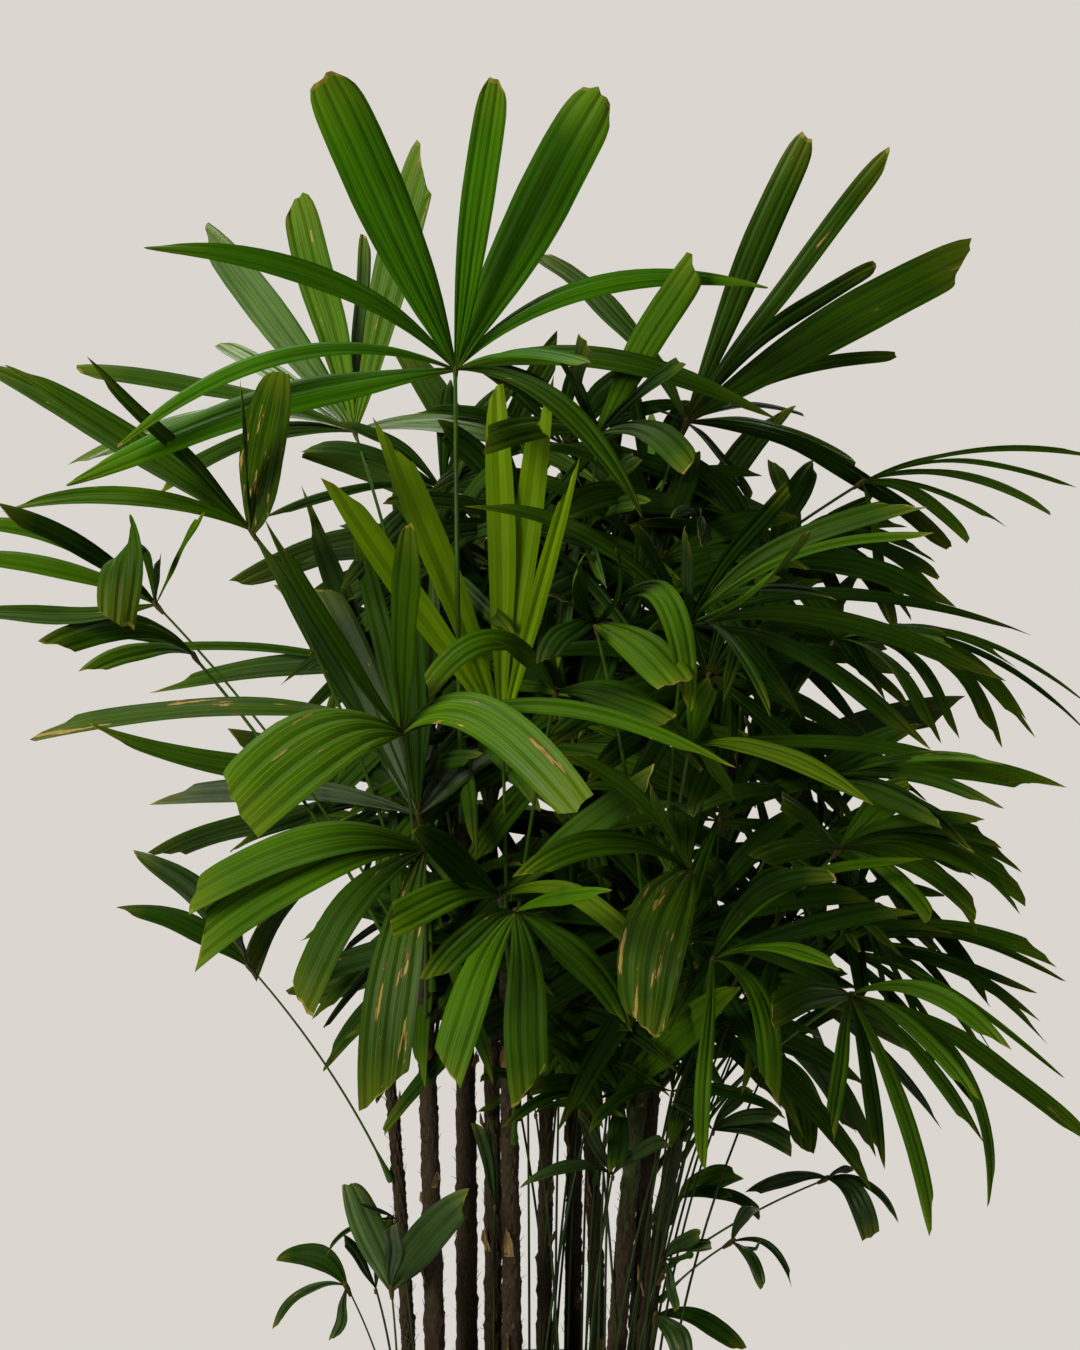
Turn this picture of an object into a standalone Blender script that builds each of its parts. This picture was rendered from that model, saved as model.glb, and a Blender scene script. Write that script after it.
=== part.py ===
# A lady palm in a plain round pot.
# A clump of fibre-clad canes stands in the soil. Each cane bears fronds on thin stalks, and each frond is a
# fan of long fingers that spread from one hub. The leaves deep in the crown, which hardly show one by one,
# share a few uneven masses.
# Metres, +Z up. The origin is at the middle of the pot's flat underside, and the front of the plant faces -Y.

from math import atan2, cos, degrees, pi, radians, sin, sqrt

import bmesh
import bpy
from mathutils import Matrix, Vector
from mathutils.bvhtree import BVHTree

# Sizes in metres
GAP = 0.0003
STALK_GAP = 0.0004
STALK_GAP_PLAY = 0.0002
SEATING_ROUNDS = 25
SEATING_STEP = 0.003
FOOT_SHARE = 0.15
SOIL_FOOT_SHARE = 0.6
POT_HEIGHT = 0.30
POT_FOOT_RADIUS = 0.135
POT_TOP_RADIUS = 0.180
POT_LIP_RADIUS = 0.190
POT_LIP_DEPTH = 0.028
POT_WALL = 0.006
POT_SIDES = 36
SOIL_TOP = 0.275
SOIL_FALL = 0.004
SOIL_FLAT_RADIUS = 0.155
CANE_SIDES = 8
CANE_RING_STEP = 0.10
CANE_TOP_SHARE = 0.72
BLADE = 0.0022
DEPTH_SHARE = 0.8
DROOP_SHARE = 0.15
STALK_WIDTH = 0.0052
STALK_DEPTH = 0.0042
HUB_RADIUS = 0.013
HUB_PLATE_SHARE = 1.5
ROOT_REACH = 0.022
HUB_FILL = 0.8
ROOT_WIDTH_SHARE = 0.42
LEAST_SPOKE_GAP = 9
STALK_SPOKE_GAP = 40
SPREAD_ROUNDS = 40
FACE_UP = radians(28)
CLEARANCE = 0.0012
MASS_CLEARANCE = 0.006
MASS_UNEVEN = 0.14
MASS_LEAST = 0.012
MASS_SHRINK = 0.85
MASS_ROUNDS = 60

# Shape of a finger: its stations as shares of its length, and its width at each as a share of the widest.
# A narrow finger needs fewer.
BROAD_STATIONS = ((0.24, 0.54), (0.62, 1.0), (1.0, 0.45))
NARROW_STATIONS = ((0.48, 1.0), (1.0, 0.45))
NARROW = 3.5
STALK_STATIONS = ((0.5, 0.9), (1.0, 1.0))

# How a finger gives way to one that is already in its place: its tip comes this much further forward, in
# centimetres, and after that it is also shorter
WAYS_ROUND = (0, 3, -3, 6, -6, 9, -9, 12, -12, 15, -15, 18, -18)
SHORTER = (1.0, 0.85, 0.7, 0.55)

# How a stalk gives way: its foot goes round its cane by so many degrees, then it bows more or less, as a
# share of its length, and then its foot is higher or lower
SWINGS = (0, 25, -25, 50, -50, 75, -75)
BOWS = (0.035, 0.0, 0.07, 0.11, -0.03)
STEPS_UP = (0.0, -0.02, 0.02, -0.04, 0.04, -0.06)

# Where the front view is seen from
EYE = Vector((-0.005, -3.0, 1.051))

# Each cane: its foot on the soil (x, y), its top (x, y, z) and its radius at the foot
CANES = {
    "cane_1": ((-0.140, -0.010), (-0.164, -0.010, 0.650), 0.0080),
    "cane_2": ((-0.112, -0.060), (-0.128, -0.070, 0.850), 0.0110),
    "cane_3": ((-0.081, -0.010), (-0.086, 0.000, 0.930), 0.0120),
    "cane_4": ((-0.033, -0.065), (-0.040, -0.075, 0.790), 0.0107),
    "cane_5": ((-0.001, 0.020), (0.004, 0.030, 0.780), 0.0088),
    "cane_6": ((0.030, 0.060), (0.036, 0.055, 0.930), 0.0095),
    "cane_7": ((0.069, -0.060), (0.122, -0.070, 0.810), 0.0105),
    "cane_8": ((0.097, -0.015), (0.176, -0.025, 0.740), 0.0100),
    "cane_9": ((0.058, 0.015), (0.040, 0.000, 0.720), 0.0090),
    "cane_10": ((-0.055, 0.085), (-0.060, 0.110, 0.950), 0.0100),
    "cane_11": ((0.098, 0.075), (0.140, 0.100, 0.880), 0.0100),
}

# Each frond: what its stalk grows from and at what height, its hub, how far the fan is turned (degrees, its
# right side to the back), the true length of its fingers (centimetres, below zero where those that look short
# point away), and the fingers. A finger is its bearing on the front view (degrees clockwise from straight
# up), its reach there, its width and how far it bows upward (centimetres), and for a few how far its tip
# comes forward. Bearings and reaches are as seen from EYE, so the depth of a tip doesn't change them.
FRONDS = {
    "frond_crown": ("cane_3", 0.900, (-0.092, -0.060, 1.365), 18, 36, (
        (-112, 34, 4.5, 3.5), (-102, 36, 1.6, 5.0), (-69, 35, 2.8, 4.0), (-24, 34, 5.2, 0.5), (8, 31, 3.0, 0.3),
        (28, 33, 5.5, 0.5), (76, 32, 2.5, 5.0), (88, 14, 2.0, 1.5), (99, 34, 3.0, 3.5), (129, 25, 3.0, 4.0))),
    "frond_crown_back": ("cane_3", 0.860, (-0.206, 0.100, 1.315), -20, -32, (
        (-107, 23, 3.0, 2.5), (-98, 32, 2.0, 4.0), (-78, 32, 2.0, 1.5), (-57, 18, 2.2, 0.5), (-37, 25, 5.0, 0.5),
        (-14, 27, 4.4, 0.3), (3, 22, 1.5, 0.3), (12, 31, 4.5, 0.3), (107, 24, 3.5, 3.5))),
    "frond_left_high": ("cane_2", 0.800, (-0.298, -0.100, 1.198), -25, 34, (
        (-86, 26, 2.2, 2.5), (-62, 34, 4.0, 1.5), (-54, 31, 2.4, 1.0), (-44, 25, 2.4, 0.3), (-4, 16, 1.8, 0.3),
        (10, 18, 5.4, 0.5))),
    "frond_left_folded": ("cane_2", 0.760, (-0.392, -0.120, 1.122), -20, 24, (
        (-125, 5, 4.2, 8.0, 14), (-91, 22, 2.2, -1.0), (-77, 21, 2.8, 1.5), (-68, 22, 2.5, 2.5),
        (-60, 19, 2.0, 1.5), (5, 5, 1.0, 0.3), (27, 11, 1.2, 0.5))),
    "frond_left_short": ("cane_2", 0.720, (-0.367, -0.020, 1.072), 20, 18, (
        (-101, 12, 2.0, 1.5), (-90, 16, 4.0, 3.0), (-76, 11, 2.0, 1.0))),
    "frond_left_level": ("cane_3", 0.820, (-0.158, 0.120, 1.056), -15, -28, (
        (-150, 15, 3.0, 1.0), (-95, 28, 2.8, 1.5), (-85, 28, 1.0, 1.0), (-58, 17, 2.2, 1.0), (60, 15, 3.0, 1.0),
        (140, 16, 3.0, 2.0))),
    "frond_right_high": ("cane_6", 0.870, (0.150, 0.040, 1.320), 22, -37, (
        (-78, 15, 2.0, 1.0), (-41, 24, 3.5, 2.5), (23, 34, 3.3, 0.4), (37, 37, 2.2, 0.4), (51, 27, 2.0, 2.0),
        (60, 37, 5.0, 0.8), (73, 24, 1.6, 2.0), (88, 13, 1.0, 1.5), (104, 19, 2.5, 1.5), (116, 32, 3.0, 3.5),
        (140, 11, 2.4, 0.5))),
    "frond_middle_high": ("cane_6", 0.860, (0.055, 0.000, 1.301), 0, 24, (
        (-95, 13, 3.0, 1.5), (-60, 14, 3.0, 1.0), (-24, 9, 3.0, 0.3), (-6, 21, 3.0, 0.3), (30, 22, 3.4, 0.5),
        (50, 13, 2.6, 0.5), (110, 11, 3.0, 2.5))),
    "frond_right_fan": ("cane_7", 0.780, (0.141, -0.140, 1.100), 20, 35, (
        (0, 9.5, 3.2, 0.3), (37, 18, 1.9, 0.5), (52, 16, 4.6, 0.5), (63, 28, 2.6, 2.5), (71, 27, 1.2, 3.0),
        (81, 16, 1.2, 2.5), (92, 35, 1.6, 4.0), (101, 33, 3.0, 3.5), (118, 28, 3.2, 5.0), (137, 13, 1.3, 3.0))),
    "frond_front_left": ("cane_2", 0.780, (-0.137, -0.260, 0.995), -10, 37, (
        (-113, 17, 7.0, 4.5, 12), (-95, 29, 2.5, -2.0), (-88, 37, 3.0, 3.0), (-42, 27, 2.0, 4.0),
        (-16, 30, 4.5, 0.2), (97, 33, 1.6, 3.0), (113, 19, 4.8, 6.5, 10))),
    "frond_young": ("cane_4", 0.790, (-0.043, -0.100, 0.990), 10, 36, (
        (-34, 33, 2.6, 0.3), (-21, 36, 3.2, 0.3), (-1, 35, 2.8, 0.2), (7, 35, 3.0, 0.2), (15, 30, 1.7, 0.4))),
    "frond_middle": ("cane_7", 0.745, (0.050, -0.160, 1.102), 0, 20, (
        (-130, 7, 2.6, 1.5), (-58, 5, 2.2, 0.3), (-8, 7, 3.0, 0.2), (14, 8, 2.2, 0.2), (136, 13, 2.6, 8.0, 8),
        (135, 9.5, 4.5, 4.0, 14))),
    "frond_middle_arched": ("cane_4", 0.740, (0.011, -0.180, 1.034), 0, 20, (
        (-86, 14, 3.2, 3.5), (-50, 8, 1.6, 0.5), (105, 12, 2.2, 1.0), (119, 17, 2.8, 3.0))),
    "frond_left_upright": ("cane_2", 0.730, (-0.128, -0.110, 0.910), -20, -28, (
        (-87, 28, 2.6, 1.8), (-52, 13, 3.0, 1.0), (-24, 26, 4.5, 0.5), (-4, 28, 3.8, 0.3), (20, 15, 2.2, 0.3),
        (47, 14, 4.4, 0.5))),
    "frond_left_low": ("cane_2", 0.690, (-0.115, -0.280, 0.884), -20, 28, (
        (-176, 26, 6.0, 2.0, 8), (-142, 20, 4.8, 2.5, 6), (-111, 26, 4.0, 4.0), (-99, 24, 5.4, 4.5))),
    "frond_front_middle": ("cane_4", 0.700, (-0.044, -0.240, 0.837), 0, 22, (
        (-101, 12, 6.0, 3.0), (-51, 11, 4.4, 0.2), (53, 20, 3.5, 0.3), (113, 16, 2.4, 3.0))),
    "frond_front_low": ("cane_4", 0.575, (-0.028, -0.320, 0.829), 5, 24, (
        (-160, 18, 4.2, 1.5, 8), (-131, 11, 2.4, 1.5), (79, 9.5, 1.8, 0.5), (137, 16, 3.0, 1.5, 5),
        (176, 19, 4.4, 2.0, 10))),
    "frond_right_front": ("cane_7", 0.710, (0.137, -0.280, 0.864), 10, 24, (
        (-166, 17, 6.0, 2.0, 8), (-95, 17, 2.4, 3.5), (-47, 17, 1.6, 2.0), (-26, 9, 1.6, 0.3),
        (3, 5, 3.3, 7.0, 12))),
    "frond_right_bright": ("cane_7", 0.760, (0.140, -0.240, 0.983), 20, 34, (
        (-70, 8, 2.0, 0.5, 4), (20, 7, 2.4, 0.5, 3), (97, 34, 1.6, 2.0), (109, 19, 3.2, 2.0), (140, 7, 2.2, 0.5, 5))),
    "frond_right_low": ("cane_8", 0.640, (0.163, -0.220, 0.774), 20, 24, (
        (-177, 21, 3.0, 1.5, 8), (57, 15, 2.4, 3.0), (66, 23, 1.2, 3.5), (76, 21, 2.3, 1.0), (84, 24, 1.1, 2.5),
        (95, 13, 2.4, 1.5), (160, 16, 4.4, 5.0))),
    "frond_left_lone": ("cane_1", 0.525, (-0.300, -0.100, 0.755), -30, 18, (
        (-67, 15, 2.4, 1.5), (-46, 17, 2.7, 1.6), (-22, 5, 1.6, 0.3))),
    "frond_right_arching": ("cane_10", 0.930, (0.351, 0.160, 1.264), 30, -28, (
        (84, 27, 1.2, 2.5), (92, 24, 1.0, 3.0), (100, 22, 1.4, 3.0), (108, 17, 1.0, 2.0), (119, 14, 2.0, 2.0),
        (170, 15, 2.6, 1.0))),
    "frond_right_behind": ("cane_11", 0.850, (0.279, 0.120, 1.193), 20, -20, (
        (-60, 12, 3.0, 1.0), (-18, 10, 2.6, 0.4), (58, 10, 2.0, 0.5), (92, 11, 2.4, 1.0), (103, 16, 2.2, 2.0),
        (116, 13, 2.4, 1.0), (133, 14, 3.0, 3.0), (152, 9, 2.4, 1.0))),
    "frond_right_wide": ("cane_11", 0.800, (0.307, 0.020, 1.088), 30, 29, (
        (-80, 9, 3.0, 1.0), (94, 13, 2.2, 1.0), (105, 28, 1.0, 4.0), (111, 29, 1.2, 4.5), (118, 24, 1.8, 4.5),
        (125, 21, 4.0, 5.5), (136, 16, 2.4, 3.0))),
    "frond_right_middle": ("cane_8", 0.720, (0.266, -0.020, 0.931), -20, 28, (
        (-100, 12, 3.0, 1.0), (-40, 9, 3.0, 0.5), (61, 15, 3.4, 0.8), (76, 16, 1.0, 1.0), (91, 28, 3.6, 3.0),
        (104, 16, 2.4, 1.5))),
    "frond_right_broad": ("cane_8", 0.690, (0.297, -0.120, 0.875), 25, 20, (
        (-100, 9, 3.0, 1.0), (-50, 8, 3.0, 0.5), (48, 10, 4.0, 0.4), (89, 17, 2.6, 2.5), (104, 20, 4.4, 3.0),
        (116, 16, 3.0, 2.0), (128, 12, 2.2, 1.5))),
    "frond_right_spray": ("cane_8", 0.600, (0.295, 0.060, 0.756), -25, -30, (
        (84, 13, 2.0, 1.0), (93, 26, 3.0, 3.0), (102, 24, 1.4, 2.0), (109, 25, 1.8, 3.0), (118, 30, 1.0, 2.5),
        (127, 24, 1.1, 4.0))),
    "frond_right_hanging": ("cane_8", 0.570, (0.303, -0.160, 0.733), 20, 29, (
        (-172, 15, 1.5, 0.5), (-105, 9, 3.0, 1.0), (111, 17, 3.6, 3.0), (122, 29, 4.0, 2.0), (131, 17, 2.4, 2.0),
        (139, 20, 3.0, 1.5), (148, 22, 1.3, 3.5), (158, 25, 3.0, 2.5), (170, 18, 3.4, 0.5))),
    "frond_right_drooping": ("cane_8", 0.545, (0.240, 0.040, 0.652), -20, -14, (
        (-95, 8, 2.0, 0.5), (60, 9, 2.0, 0.5), (145, 11, 1.5, 1.0), (161, 12, 3.2, 1.0))),
    "frond_low_middle": ("cane_9", 0.520, (0.079, -0.080, 0.620), 10, 18, (
        (-174, 8, 4.0, 0.2), (-88, 10, 3.0, 1.5), (-58, 9, 5.0, 1.8), (28, 14, 3.2, 0.8), (47, 17, 4.4, 1.0))),
    "frond_sucker_left": ("soil", -0.150, (-0.157, -0.080, 0.424), 0, 14, (
        (-22, 12, 2.7, 0.5), (2, 7, 2.0, 0.2), (41, 13, 3.8, 0.8))),
    "frond_sucker_far_left": ("soil", -0.158, (-0.207, -0.020, 0.414), -20, 9, (
        (-165, 6, 1.2, -0.8), (-124, 9, 1.1, 2.0), (-70, 8, 2.6, 1.8))),
    "frond_low_right": ("cane_8", 0.400, (0.193, -0.050, 0.466), 20, 8, (
        (40, 4.5, 1.8, 0.4), (84, 3, 0.8, 0.2), (128, 8, 0.8, 2.0), (146, 6, 1.3, 1.0))),
    "frond_low_far_right": ("cane_8", 0.430, (0.299, 0.020, 0.519), -20, 9, (
        (-102, 9, 1.7, 1.0), (75, 3, 0.9, 0.2), (124, 9, 0.8, 2.0), (145, 8, 2.3, 1.8))),
    "frond_low_dark": ("cane_8", 0.460, (0.143, 0.030, 0.496), 20, 9, (
        (72, 7.5, 2.8, 1.0), (90, 5.5, 1.2, 0.8), (103, 9, 1.3, 1.5))),
    "frond_low_front": ("cane_8", 0.345, (0.114, -0.060, 0.392), 10, 10, (
        (113, 10, 2.1, 1.5), (148, 6, 2.4, 1.0))),
}

# The fronds that face away from the front, which the photograph hides: what bears each and at what height,
# its hub, the way it faces (degrees round from the front) and its reach in centimetres. Their fingers are
# dealt out evenly.
FAR_FRONDS = {
    "frond_far_1": ("cane_10", 0.900, (-0.070, 0.280, 1.200), 194, 28),
    "frond_far_2": ("cane_6", 0.820, (0.150, 0.270, 1.110), 160, 29),
    "frond_far_3": ("cane_10", 0.860, (-0.190, 0.290, 0.880), 222, 25),
    "frond_far_4": ("cane_11", 0.760, (0.250, 0.240, 0.930), 140, 27),
    "frond_far_5": ("cane_5", 0.760, (0.030, 0.340, 0.880), 180, 25),
    "frond_far_6": ("cane_11", 0.720, (0.200, 0.250, 0.690), 150, 24),
    "frond_far_7": ("cane_10", 0.780, (-0.060, 0.280, 0.710), 200, 22),
}
FAR_BEARINGS = (-145, -105, -68, -25, 18, 62, 100, 140)
FAR_WIDTHS = (3.6, 3.1)
FAR_DEPTHS = (0.45, 0.25)
FAR_SHORTER = 0.08
FAR_BOW = 0.10

# The masses of leaves deep in the crown: what bears each, its centre and its size each way
MASSES = {
    "mass_upper": ("cane_6", (0.010, 0.110, 1.070), (0.130, 0.080, 0.100)),
    "mass_right": ("cane_11", (0.215, 0.120, 0.860), (0.090, 0.080, 0.090)),
    "mass_lower": ("cane_9", (0.060, 0.140, 0.770), (0.090, 0.070, 0.080)),
    "mass_left": ("cane_10", (-0.150, 0.130, 0.850), (0.080, 0.070, 0.090)),
}

# Colour, roughness and metallic value of each kind of part
FINISHES = {
    "pot": ((0.020, 0.020, 0.021), 0.45),
    "soil": ((0.045, 0.031, 0.020), 0.95),
    "cane": ((0.060, 0.045, 0.032), 0.90),
    "frond": ((0.075, 0.170, 0.020), 0.45),
    "frond_young": ((0.230, 0.350, 0.030), 0.45),
    "mass": ((0.025, 0.070, 0.010), 0.55),
}


def clear_scene():
    for thing in list(bpy.data.objects):
        bpy.data.objects.remove(thing)


def material(kind):
    """The material of a kind of part, made once."""
    known = bpy.data.materials.get(kind)
    if known:
        return known
    colour, roughness = FINISHES[kind]
    new = bpy.data.materials.new(kind)
    new.use_nodes = True
    shader = new.node_tree.nodes["Principled BSDF"]
    shader.inputs["Base Color"].default_value = (*colour, 1.0)
    shader.inputs["Roughness"].default_value = roughness
    shader.inputs["Metallic"].default_value = 0.0
    new.diffuse_color = (*colour, 1.0)
    return new


def add_object(name, points, faces, kind):
    mesh = bpy.data.meshes.new(name)
    mesh.from_pydata(points, [], faces)
    mesh.materials.append(material(kind))
    body = bpy.data.objects.new(name, mesh)
    bpy.context.scene.collection.objects.link(body)
    return body


def turned_solid(name, profile, kind):
    """A solid of revolution. Its profile is (radius, height) from the axis round to the axis again."""
    points, rings = [], []
    for radius, height in profile:
        if radius == 0.0:
            rings.append([len(points)] * POT_SIDES)
            points.append((0.0, 0.0, height))
            continue
        rings.append([len(points) + side for side in range(POT_SIDES)])
        for side in range(POT_SIDES):
            turn = 2 * pi * side / POT_SIDES
            points.append((radius * cos(turn), radius * sin(turn), height))
    faces = []
    for low, high in zip(rings, rings[1:]):
        for side in range(POT_SIDES):
            after = (side + 1) % POT_SIDES
            corners = [low[side], low[after], high[after], high[side]]
            faces.append(list(dict.fromkeys(corners)))
    return add_object(name, points, faces, kind)


def make_pot():
    inner_foot = POT_FOOT_RADIUS - POT_WALL
    inner_top = POT_TOP_RADIUS - POT_WALL
    under_lip = POT_HEIGHT - POT_LIP_DEPTH
    turned_solid("pot", (
        (0.0, 0.0),
        (POT_FOOT_RADIUS, 0.0),
        (POT_TOP_RADIUS, under_lip),
        (POT_LIP_RADIUS, under_lip),
        (POT_LIP_RADIUS, POT_HEIGHT),
        (inner_top, POT_HEIGHT),
        (inner_foot, POT_WALL),
        (0.0, POT_WALL),
    ), "pot")


def make_soil():
    """The soil fills the pot to a little below its rim, flat where the canes stand."""
    inner_foot = POT_FOOT_RADIUS - POT_WALL
    inner_top = POT_TOP_RADIUS - POT_WALL
    slope = (inner_top - inner_foot) / (POT_HEIGHT - POT_WALL)
    edge_height = SOIL_TOP - SOIL_FALL
    edge_radius = inner_foot + slope * (edge_height - POT_WALL) - 2 * GAP
    turned_solid("soil", (
        (0.0, POT_WALL + GAP),
        (inner_foot - 2 * GAP, POT_WALL + GAP),
        (edge_radius, edge_height),
        (SOIL_FLAT_RADIUS, SOIL_TOP),
        (0.0, SOIL_TOP),
    ), "soil")


def cane_at(name, height):
    """A cane's axis and radius at a height. The cane stands upright at its foot and then leans out."""
    foot, top, radius = CANES[name]
    low = SOIL_TOP + GAP
    share = min(max((height - low) / (top[2] - low), 0.0), 1.0)
    lean = share * (0.5 + 0.5 * share)
    axis = Vector((
        foot[0] + (top[0] - foot[0]) * lean,
        foot[1] + (top[1] - foot[1]) * lean,
        low + (top[2] - low) * share,
    ))
    return axis, radius * (1 - (1 - CANE_TOP_SHARE) * share)


def make_cane(name):
    """A tapering tube with level rings and a flat cut at both ends."""
    low = SOIL_TOP + GAP
    high = CANES[name][1][2]
    count = round((high - low) / CANE_RING_STEP)
    points, faces = [], []
    for ring in range(count + 1):
        axis, radius = cane_at(name, low + (high - low) * ring / count)
        for side in range(CANE_SIDES):
            turn = 2 * pi * side / CANE_SIDES
            points.append(axis + Vector((radius * cos(turn), radius * sin(turn), 0.0)))
    for ring in range(count):
        for side in range(CANE_SIDES):
            after = (side + 1) % CANE_SIDES
            low_ring = ring * CANE_SIDES
            high_ring = low_ring + CANE_SIDES
            faces.append((low_ring + side, low_ring + after, high_ring + after, high_ring + side))
    faces.append(tuple(reversed(range(CANE_SIDES))))
    faces.append(tuple(count * CANE_SIDES + side for side in range(CANE_SIDES)))
    return add_object(name, points, faces, "cane")


class Strip:
    """A thin tapering strip along a bowed line: one finger of a frond, or its stalk."""

    def __init__(self, start, end, bow, face, width, stations, thickness, shift=Vector((0, 0, 0))):
        self.start, self.end = start, end
        self.face = face
        self.stations = [(share, width * part) for share, part in stations]
        self.thickness = thickness
        line = end - start
        rise = Vector((0, 0, 1)) - line * (line.z / line.length_squared)
        lift = rise.normalized() if rise.length > 0.05 else face
        self.middle = (start + end) / 2 + lift * (2 * bow) + shift
        first = stations[0][0]
        lead = self.place(first) - start
        flat = lead - face * lead.dot(face)
        self.way = flat.normalized()
        short = ROOT_REACH - flat.length
        if short > 0:
            self.middle += self.way * (short / (2 * first * (1 - first)))

    def place(self, share):
        rest = 1 - share
        return self.start * rest * rest + self.middle * (2 * share * rest) + self.end * share * share

    def heading(self, share):
        step = (self.middle - self.start) * (1 - share) + (self.end - self.middle) * share
        return step.normalized()

    def ring(self, share, width, extra=0.0):
        """Four corners at a station: left and right on the front, then right and left on the back."""
        along = self.heading(share)
        out = self.way.rotation_difference(along) @ self.face
        side = along.cross(out)
        across = side * (width / 2 + extra)
        deep = out * (self.thickness / 2 + extra)
        middle = self.place(share)
        left, right = middle - across, middle + across
        return [left + deep, right + deep, right - deep, left - deep]

    def root_ring(self, way, left, right, depth):
        """Four corners on the hub's rim, where the strip leaves it."""
        middle, side = self.start + way * HUB_RADIUS, way.cross(self.face)
        deep = self.face * depth
        return [
            middle - side * left + deep,
            middle + side * right + deep,
            middle + side * right - deep,
            middle - side * left - deep,
        ]

    def shell(self, extra=0.0):
        """Points and faces of the strip alone, grown by extra."""
        half = HUB_RADIUS / 2 + extra
        points = self.root_ring(self.way, half, half, BLADE / 2 + extra)
        for share, width in self.stations:
            points.extend(self.ring(share, width, extra))
        last = 4 * len(self.stations)
        faces = [(3, 2, 1, 0), (last, last + 1, last + 2, last + 3)]
        for ring in range(len(self.stations)):
            faces.extend(ring_faces(4 * ring, 4 * ring + 4))
        return points, faces


def ring_faces(near, far):
    """The eight triangles between two rings of four corners."""
    faces = []
    for corner in range(4):
        after = (corner + 1) % 4
        faces.append((near + corner, near + after, far + after))
        faces.append((near + corner, far + after, far + corner))
    return faces


class Space:
    """What already stands in the way, piece by piece."""

    def __init__(self):
        self.pieces = []

    def add(self, owner, points, faces):
        self.pieces.append((owner, box_of(points), BVHTree.FromPolygons(points, faces)))

    def blocked(self, points, faces, ignore=()):
        box = box_of(points)
        tree = None
        for owner, piece_box, piece_tree in self.pieces:
            if owner in ignore or apart(box, piece_box):
                continue
            tree = tree or BVHTree.FromPolygons(points, faces)
            if tree.overlap(piece_tree):
                return True
        return False


def box_of(points):
    return (
        [min(point[axis] for point in points) for axis in range(3)],
        [max(point[axis] for point in points) for axis in range(3)],
    )


def apart(one, other):
    """Whether two boxes don't meet."""
    return any(one[0][axis] > other[1][axis] or one[1][axis] < other[0][axis] for axis in range(3))


def facing(turn):
    """The right hand and the outward way of a frond that faces turn degrees round from the front."""
    angle = radians(turn)
    return Vector((cos(angle), sin(angle), 0)), Vector((sin(angle), -cos(angle), 0))


def all_fronds():
    """The fronds of the front view as listed, then the far ones with their fingers dealt out."""
    fronds = [Frond(name, *row) for name, row in FRONDS.items()]
    for name, (bearer, height, hub, turn, reach) in FAR_FRONDS.items():
        fingers = []
        for order, bearing in enumerate(FAR_BEARINGS):
            long = reach * (1 - FAR_SHORTER * (order % 3))
            depth = long * FAR_DEPTHS[order % 2]
            fingers.append((bearing, long, FAR_WIDTHS[order % 2], FAR_BOW * long, depth))
        fronds.append(Frond(name, bearer, height, hub, turn, reach, fingers, far=True))
    return fronds


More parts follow.
